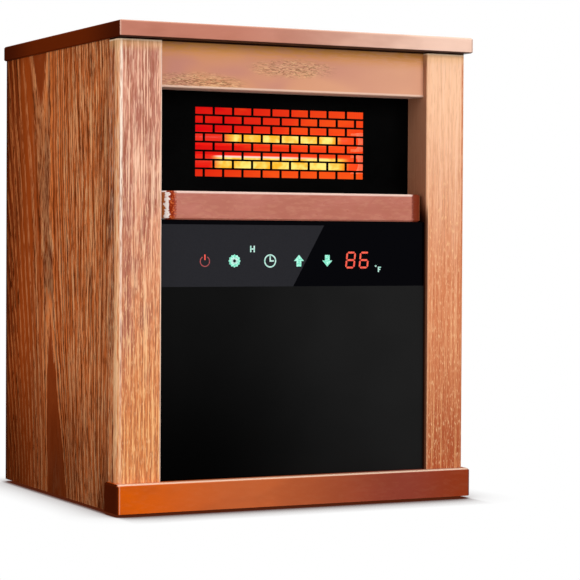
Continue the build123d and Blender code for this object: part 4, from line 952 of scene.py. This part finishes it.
def cog(x, z, radius, hole):
    """A scalloped disc with a hole, whose rim rises at each tooth."""
    turns = [2 * pi * i / COG_STEPS for i in range(COG_STEPS + 1)]
    valley = 1 - COG_WAVE
    return ring_quads(x, z, turns, lambda a: radius * (valley + COG_WAVE * cos(COG_TEETH * a)), hole)


def bar(x, z, width, height):
    """An upright four-sided bar about its middle."""
    half_w = width / 2
    half_h = height / 2
    return moved([(-half_w, -half_h), (half_w, -half_h), (half_w, half_h), (-half_w, half_h)], x, z)


def letter_h(x, z, half_w, half_h, stroke, half_bar):
    """A capital H about its middle, as one outline."""
    inner = half_w - stroke
    right = [(inner, half_bar), (inner, half_h), (half_w, half_h),
             (half_w, -half_h), (inner, -half_h), (inner, -half_bar)]
    left = [(-px, -pz) for px, pz in right]
    return moved(right + left, x, z)


def letter_f(x, z, stroke, arm, height):
    """A capital F above its foot, as one outline."""
    short_arm = 0.8 * arm
    under_top = height - stroke
    middle = 0.6 * height
    under_middle = middle - stroke
    points = [(0, 0), (0, height), (arm, height), (arm, under_top), (stroke, under_top), (stroke, middle),
              (short_arm, middle), (short_arm, under_middle), (stroke, under_middle), (stroke, 0)]
    return moved(points, x, z)


def clock_hands(x, z, stroke, tall, wide):
    """Two hands that meet in a corner, as one outline."""
    half = stroke / 2
    points = [(-half, -half), (-half, tall), (half, tall), (half, half), (wide, half), (wide, -half)]
    return moved(points, x, z)


def arrow(x, z, size, way):
    """A block arrow, pointing up for way 1 and down for way -1."""
    head = [(-0.5, 0.0), (0.5, 0.0), (0.0, 0.55)]
    stem = [(-0.24, -0.5), (0.24, -0.5), (0.24, 0.0), (-0.24, 0.0)]
    return [moved([(px * size, way * pz * size) for px, pz in shape], x, z) for shape in (head, stem)]


def pointed_bar(start, end, half):
    """A bar with pointed ends, as places along it and off its middle line."""
    return [(start, 0), (start + half, half), (end - half, half),
            (end, 0), (end - half, -half), (start + half, -half)]


def segment(part):
    """One of the seven segments of a figure."""
    half = DIGIT_STROKE / 2
    side = DIGIT_WIDTH / 2 - half
    top = DIGIT_HEIGHT / 2 - half
    if part in LEVEL_SEGMENTS:
        line = LEVEL_SEGMENTS[part] * top
        return [(px, line + pz) for px, pz in pointed_bar(DIGIT_GAP - side, side - DIGIT_GAP, half)]
    way_x, way_z = UPRIGHT_SEGMENTS[part]
    return [(way_x * side + px, way_z * pz) for pz, px in pointed_bar(DIGIT_GAP, top - DIGIT_GAP, half)]


def digit(x, z, figure):
    """A slanted seven-segment figure."""
    shapes = [segment(part) for part in SEGMENTS[figure]]
    return [moved([(px + DIGIT_SLANT * pz, pz) for px, pz in shape], x, z) for shape in shapes]


mint = lit_sign("sign_mint", srgb(86, 214, 178), srgb(176, 252, 228))
pale = lit_sign("sign_pale", srgb(150, 214, 196), srgb(206, 240, 230))
red = lit_sign("sign_red", srgb(132, 20, 22), srgb(172, 34, 34))
digits_red = lit_sign("sign_digits", srgb(236, 44, 22), srgb(255, 88, 44))
dial = arc(TIMER_X, 0, radius=5.6, width=1.1)
hands = clock_hands(TIMER_X, 0, stroke=1.2, tall=4.2, wide=3.4)
degree = arc(76.9, -4.3, radius=0.8, width=0.5)
unit = letter_f(79.0, -9.5, stroke=1.1, arm=3.0, height=4.6)
heat = letter_h(-40.5, 10.0, half_w=2.2, half_h=2.7, stroke=1.2, half_bar=0.55)
sign("power_sign", arc(POWER_X, -0.4, radius=4.6, width=0.8, start=120, end=420), red)
sign("power_bar_sign", [bar(POWER_X, 3.0, width=1.2, height=4.6)], digits_red)
sign("mode_sign", cog(MODE_X, 0, radius=5.4, hole=3.0), mint)
sign("mode_ring_sign", arc(MODE_X, 0, radius=3.0, width=1.6), pale)
sign("high_sign", [heat], pale)
sign("timer_sign", dial + [hands], pale)
sign("up_sign", arrow(3, 0, size=9.4, way=1), mint)
sign("down_sign", arrow(30, 0.4, size=9.4, way=-1), mint)
sign("digit_signs", digit(52.4, 0.8, "8") + digit(65.4, 0.8, "6"), digits_red)
sign("degree_sign", degree + [unit], pale)

ROCKER_TILT = radians(8)
ROCKER_VALLEY = 2.5 * MM
ROCKER_SIGN_OUT = 6 * MM
joints = frame["record"]["behaviour"]["joints"]
rocker_joint = next(joint for joint in joints if joint["name"] == "power_rocker")
rocker_print = speckled("rocker_print", srgb(226, 222, 218), srgb(240, 238, 234), 0.5, bump=0.03)


def rocker_seat(way):
    """Seat on the rocker's upper flat for way 1, upright at rest, or on its lower flat for way -1."""
    valley_way = Vector((0, cos(ROCKER_TILT), sin(ROCKER_TILT)))
    valley = Vector(rocker_joint["pos_m"]) + ROCKER_VALLEY * valley_way
    lean = ROCKER_TILT - way * ROCKER_TILT
    up = Vector((0, -sin(lean), cos(lean)))
    return seat(valley + way * ROCKER_SIGN_OUT * up, Vector((-1, 0, 0)), up)


on_mark = [bar(0, 0, width=1.1, height=4.4)]
off_mark = arc(0, 0, radius=2.3, width=0.9)
sign("rocker_on_sign", on_mark, rocker_print, rocker_seat(1), "rocker")
sign("rocker_off_sign", off_mark, rocker_print, rocker_seat(-1), "rocker")


# Pan-head screws down the sides of the rear panel

HEAD_RADIUS = 3.6 * MM
HEAD_HEIGHT = 1.6 * MM
HEAD_SIDES = 24
HEAD_RINGS = ((1.0, 0.0), (1.0, 0.45), (0.86, 0.8), (0.58, 1.0))
CROSS_HALF = 0.5 * MM
CROSS_REACH = 1.7 * MM
CROSS_DEPTH = 0.9 * MM
SCREW_INSET = 6 * MM
SCREW_END = 30 * MM
SCREW_ROWS = 4
SCREW_COLUMNS = {"left": REAR_LOW.x + SCREW_INSET, "right": REAR_HIGH.x - SCREW_INSET}
screw_steel = brushed("screw_steel", srgb(120, 120, 122), srgb(170, 170, 172))
# Near black for the cross recess: painted shade.
recess_painted_shade = speckled("screw_recess", srgb(8, 8, 8), srgb(16, 16, 16), 0.8)


def ring(mesh, radius, height):
    """A closed loop of points about the axis."""
    points = [polar(radius, 2 * pi * i / HEAD_SIDES) for i in range(HEAD_SIDES)]
    return [mesh.verts.new((x, y, height)) for x, y in points]


def cross(mesh, height):
    """The outline of a cross about the axis."""
    arm = [Vector((CROSS_REACH, -CROSS_HALF, 0)), Vector((CROSS_REACH, CROSS_HALF, 0)),
           Vector((CROSS_HALF, CROSS_HALF, 0))]
    points = [Matrix.Rotation(quarter * pi / 2, 3, "Z") @ point for quarter in range(4) for point in arm]
    return [mesh.verts.new((point.x, point.y, height)) for point in points]


def pairs(loop):
    """Each point of a closed loop with the next one."""
    return list(zip(loop, loop[1:] + loop[:1]))


def wall(mesh, low, high):
    """Faces between two loops of as many points."""
    return [mesh.faces.new((a, b, d, c)) for (a, b), (c, d) in zip(pairs(low), pairs(high))]


def loop_edges(mesh, loop):
    return [mesh.edges.get(pair) or mesh.edges.new(pair) for pair in pairs(loop)]


def screw_head(name, at):
    """A domed head with a sunk cross recess, seated at a point of the rear panel."""
    mesh = bmesh.new()
    loops = [ring(mesh, HEAD_RADIUS * share, HEAD_HEIGHT * rise) for share, rise in HEAD_RINGS]
    for low, high in zip(loops, loops[1:]):
        wall(mesh, low, high)
    mesh.faces.new(loops[0])
    mouth = cross(mesh, HEAD_HEIGHT)
    sunk = cross(mesh, HEAD_HEIGHT - CROSS_DEPTH)
    rim = loop_edges(mesh, loops[-1]) + loop_edges(mesh, mouth)
    bmesh.ops.triangle_fill(mesh, use_beauty=True, edges=rim)
    # The recess walls and floor take the near-black painted shade.
    for face in wall(mesh, mouth, sunk) + [mesh.faces.new(sunk)]:
        face.material_index = 1
    mesh.transform(seat(at, Vector((-1, 0, 0)), Vector((0, 0, 1))))
    make_piece(name, mesh, [screw_steel, recess_painted_shade], "cabinet")


row_step = (REAR_HIGH.z - REAR_LOW.z - 2 * SCREW_END) / (SCREW_ROWS - 1)
for row in range(SCREW_ROWS):
    for side, x in SCREW_COLUMNS.items():
        at = Vector((x, REAR_HIGH.y, REAR_LOW.z + SCREW_END + row_step * row))
        screw_head(f"rear_screw_{side}_{row}", at)


# Floor, light and camera, in metres and watts

WHITE = (1, 1, 1, 1)
WORLD_LIGHT = 0.42
FLOOR_SIZE = 30.0
SHADOW_REACH = 0.045
SHADOW_DEEPEST = 0.45
SHADOW_FALL_FRONT = 1.25
SHADOW_FALL_SIDE = 0.4
SHADOW_SAMPLES = 16
OBJECT_MIDDLE = (0, 0, 0.2)


def seen_directly(tree):
    """1 on camera, glossy and transmission rays."""
    path = tree.nodes.new("ShaderNodeLightPath")
    total = path.outputs["Is Camera Ray"]
    for other in ("Is Glossy Ray", "Is Transmission Ray"):
        node = tree.nodes.new("ShaderNodeMath")
        node.operation = "MAXIMUM"
        tree.links.new(total, node.inputs[0])
        tree.links.new(path.outputs[other], node.inputs[1])
        total = node.outputs[0]
    return total


def shadow_colour(shade):
    """White away from the object, brown under its front and side edges, nearly black further in."""
    x, y, _ = shade.axes()
    aside = shade.plus(shade.size(x), SIDE_LOW.x)
    behind = shade.minus(y, PLINTH_LOW.y)
    contact = shade.node("ShaderNodeAmbientOcclusion", samples=SHADOW_SAMPLES)
    shade.put(contact.inputs["Distance"], SHADOW_REACH)
    open_share = shade.minus(contact.outputs["AO"], SHADOW_DEEPEST)
    open_share = shade.math("DIVIDE", open_share, 1 - SHADOW_DEEPEST, clamp=True)
    fall = shade.between_mm(aside, 0, 6, SHADOW_FALL_FRONT, SHADOW_FALL_SIDE)
    brim = shade.math("MAXIMUM", shade.between_mm(aside, -14, -8), shade.between_mm(behind, 30, 20))
    deepest = shade.mix(brim, srgb(18, 13, 11), srgb(79, 32, 16))
    return shade.mix(shade.math("POWER", open_share, fall), deepest, WHITE)


def make_floor():
    """White floor that keeps a soft contact shadow."""
    bpy.ops.mesh.primitive_plane_add(size=FLOOR_SIZE)
    floor = bpy.context.object
    floor.name = "floor"
    shade = Shade("floor", Roughness=0.9, Specular_IOR_Level=0.0)
    tree = shade.tree
    shade.paint(srgb(170, 170, 170))
    light = shade.node("ShaderNodeEmission")
    shade.put(light.inputs["Color"], shadow_colour(shade))
    surface = shade.node("ShaderNodeMixShader")
    shade.put(surface.inputs[0], seen_directly(tree))
    shade.put(surface.inputs[1], shade.shader.outputs[0])
    shade.put(surface.inputs[2], light.outputs[0])
    tree.links.new(surface.outputs[0], tree.nodes["Material Output"].inputs["Surface"])
    floor.data.materials.append(shade.material)


def make_world():
    """White where it is seen, and a plain even light on the object."""
    world = bpy.data.worlds.new("studio")
    bpy.context.scene.world = world
    world.use_nodes = True
    tree = world.node_tree
    background = tree.nodes["Background"]
    background.inputs["Color"].default_value = WHITE
    node = tree.nodes.new("ShaderNodeMapRange")
    tree.links.new(seen_directly(tree), node.inputs["Value"])
    node.inputs["To Min"].default_value = WORLD_LIGHT
    node.inputs["To Max"].default_value = 1.0
    tree.links.new(node.outputs[0], background.inputs["Strength"])


def softbox(name, at, width, height, power):
    """Rectangular lamp at a point, turned to the object."""
    data = bpy.data.lights.new(name, "AREA")
    data.shape = "RECTANGLE"
    data.size = width
    data.size_y = height
    data.energy = power
    lamp = bpy.data.objects.new(name, data)
    lamp.location = at
    lamp.rotation_euler = (Vector(OBJECT_MIDDLE) - Vector(at)).to_track_quat("-Z", "Y").to_euler()
    bpy.context.scene.collection.objects.link(lamp)


def make_camera():
    """Camera of the photograph."""
    data = bpy.data.cameras.new("camera")
    data.sensor_width = SENSOR
    data.lens = FOCAL / IMAGE * SENSOR
    data.shift_x = 0.5 - PRINCIPAL[0] / IMAGE
    data.shift_y = PRINCIPAL[1] / IMAGE - 0.5
    flat = cos(CAMERA_PITCH)
    forward = Vector((sin(CAMERA_YAW) * flat, cos(CAMERA_YAW) * flat, sin(CAMERA_PITCH)))
    level = Vector((cos(CAMERA_YAW), -sin(CAMERA_YAW), 0))
    upright = level.cross(forward)
    right = cos(CAMERA_ROLL) * level + sin(CAMERA_ROLL) * upright
    up = cos(CAMERA_ROLL) * upright - sin(CAMERA_ROLL) * level
    camera = bpy.data.objects.new("camera", data)
    camera.matrix_world = Matrix.Translation(CAMERA_AT) @ Matrix((right, up, -forward)).transposed().to_4x4()
    bpy.context.scene.collection.objects.link(camera)
    bpy.context.scene.camera = camera


make_floor()
make_world()
softbox("front_key", (0.5, -2.4, 1.2), width=1.6, height=1.4, power=42)
softbox("left_strip", (-1.9, -0.65, 0.5), width=0.35, height=1.4, power=10)
softbox("top_light", (0, -0.2, 2.2), width=1.6, height=1.6, power=16)
make_camera()
bpy.context.scene.view_settings.view_transform = "Standard"
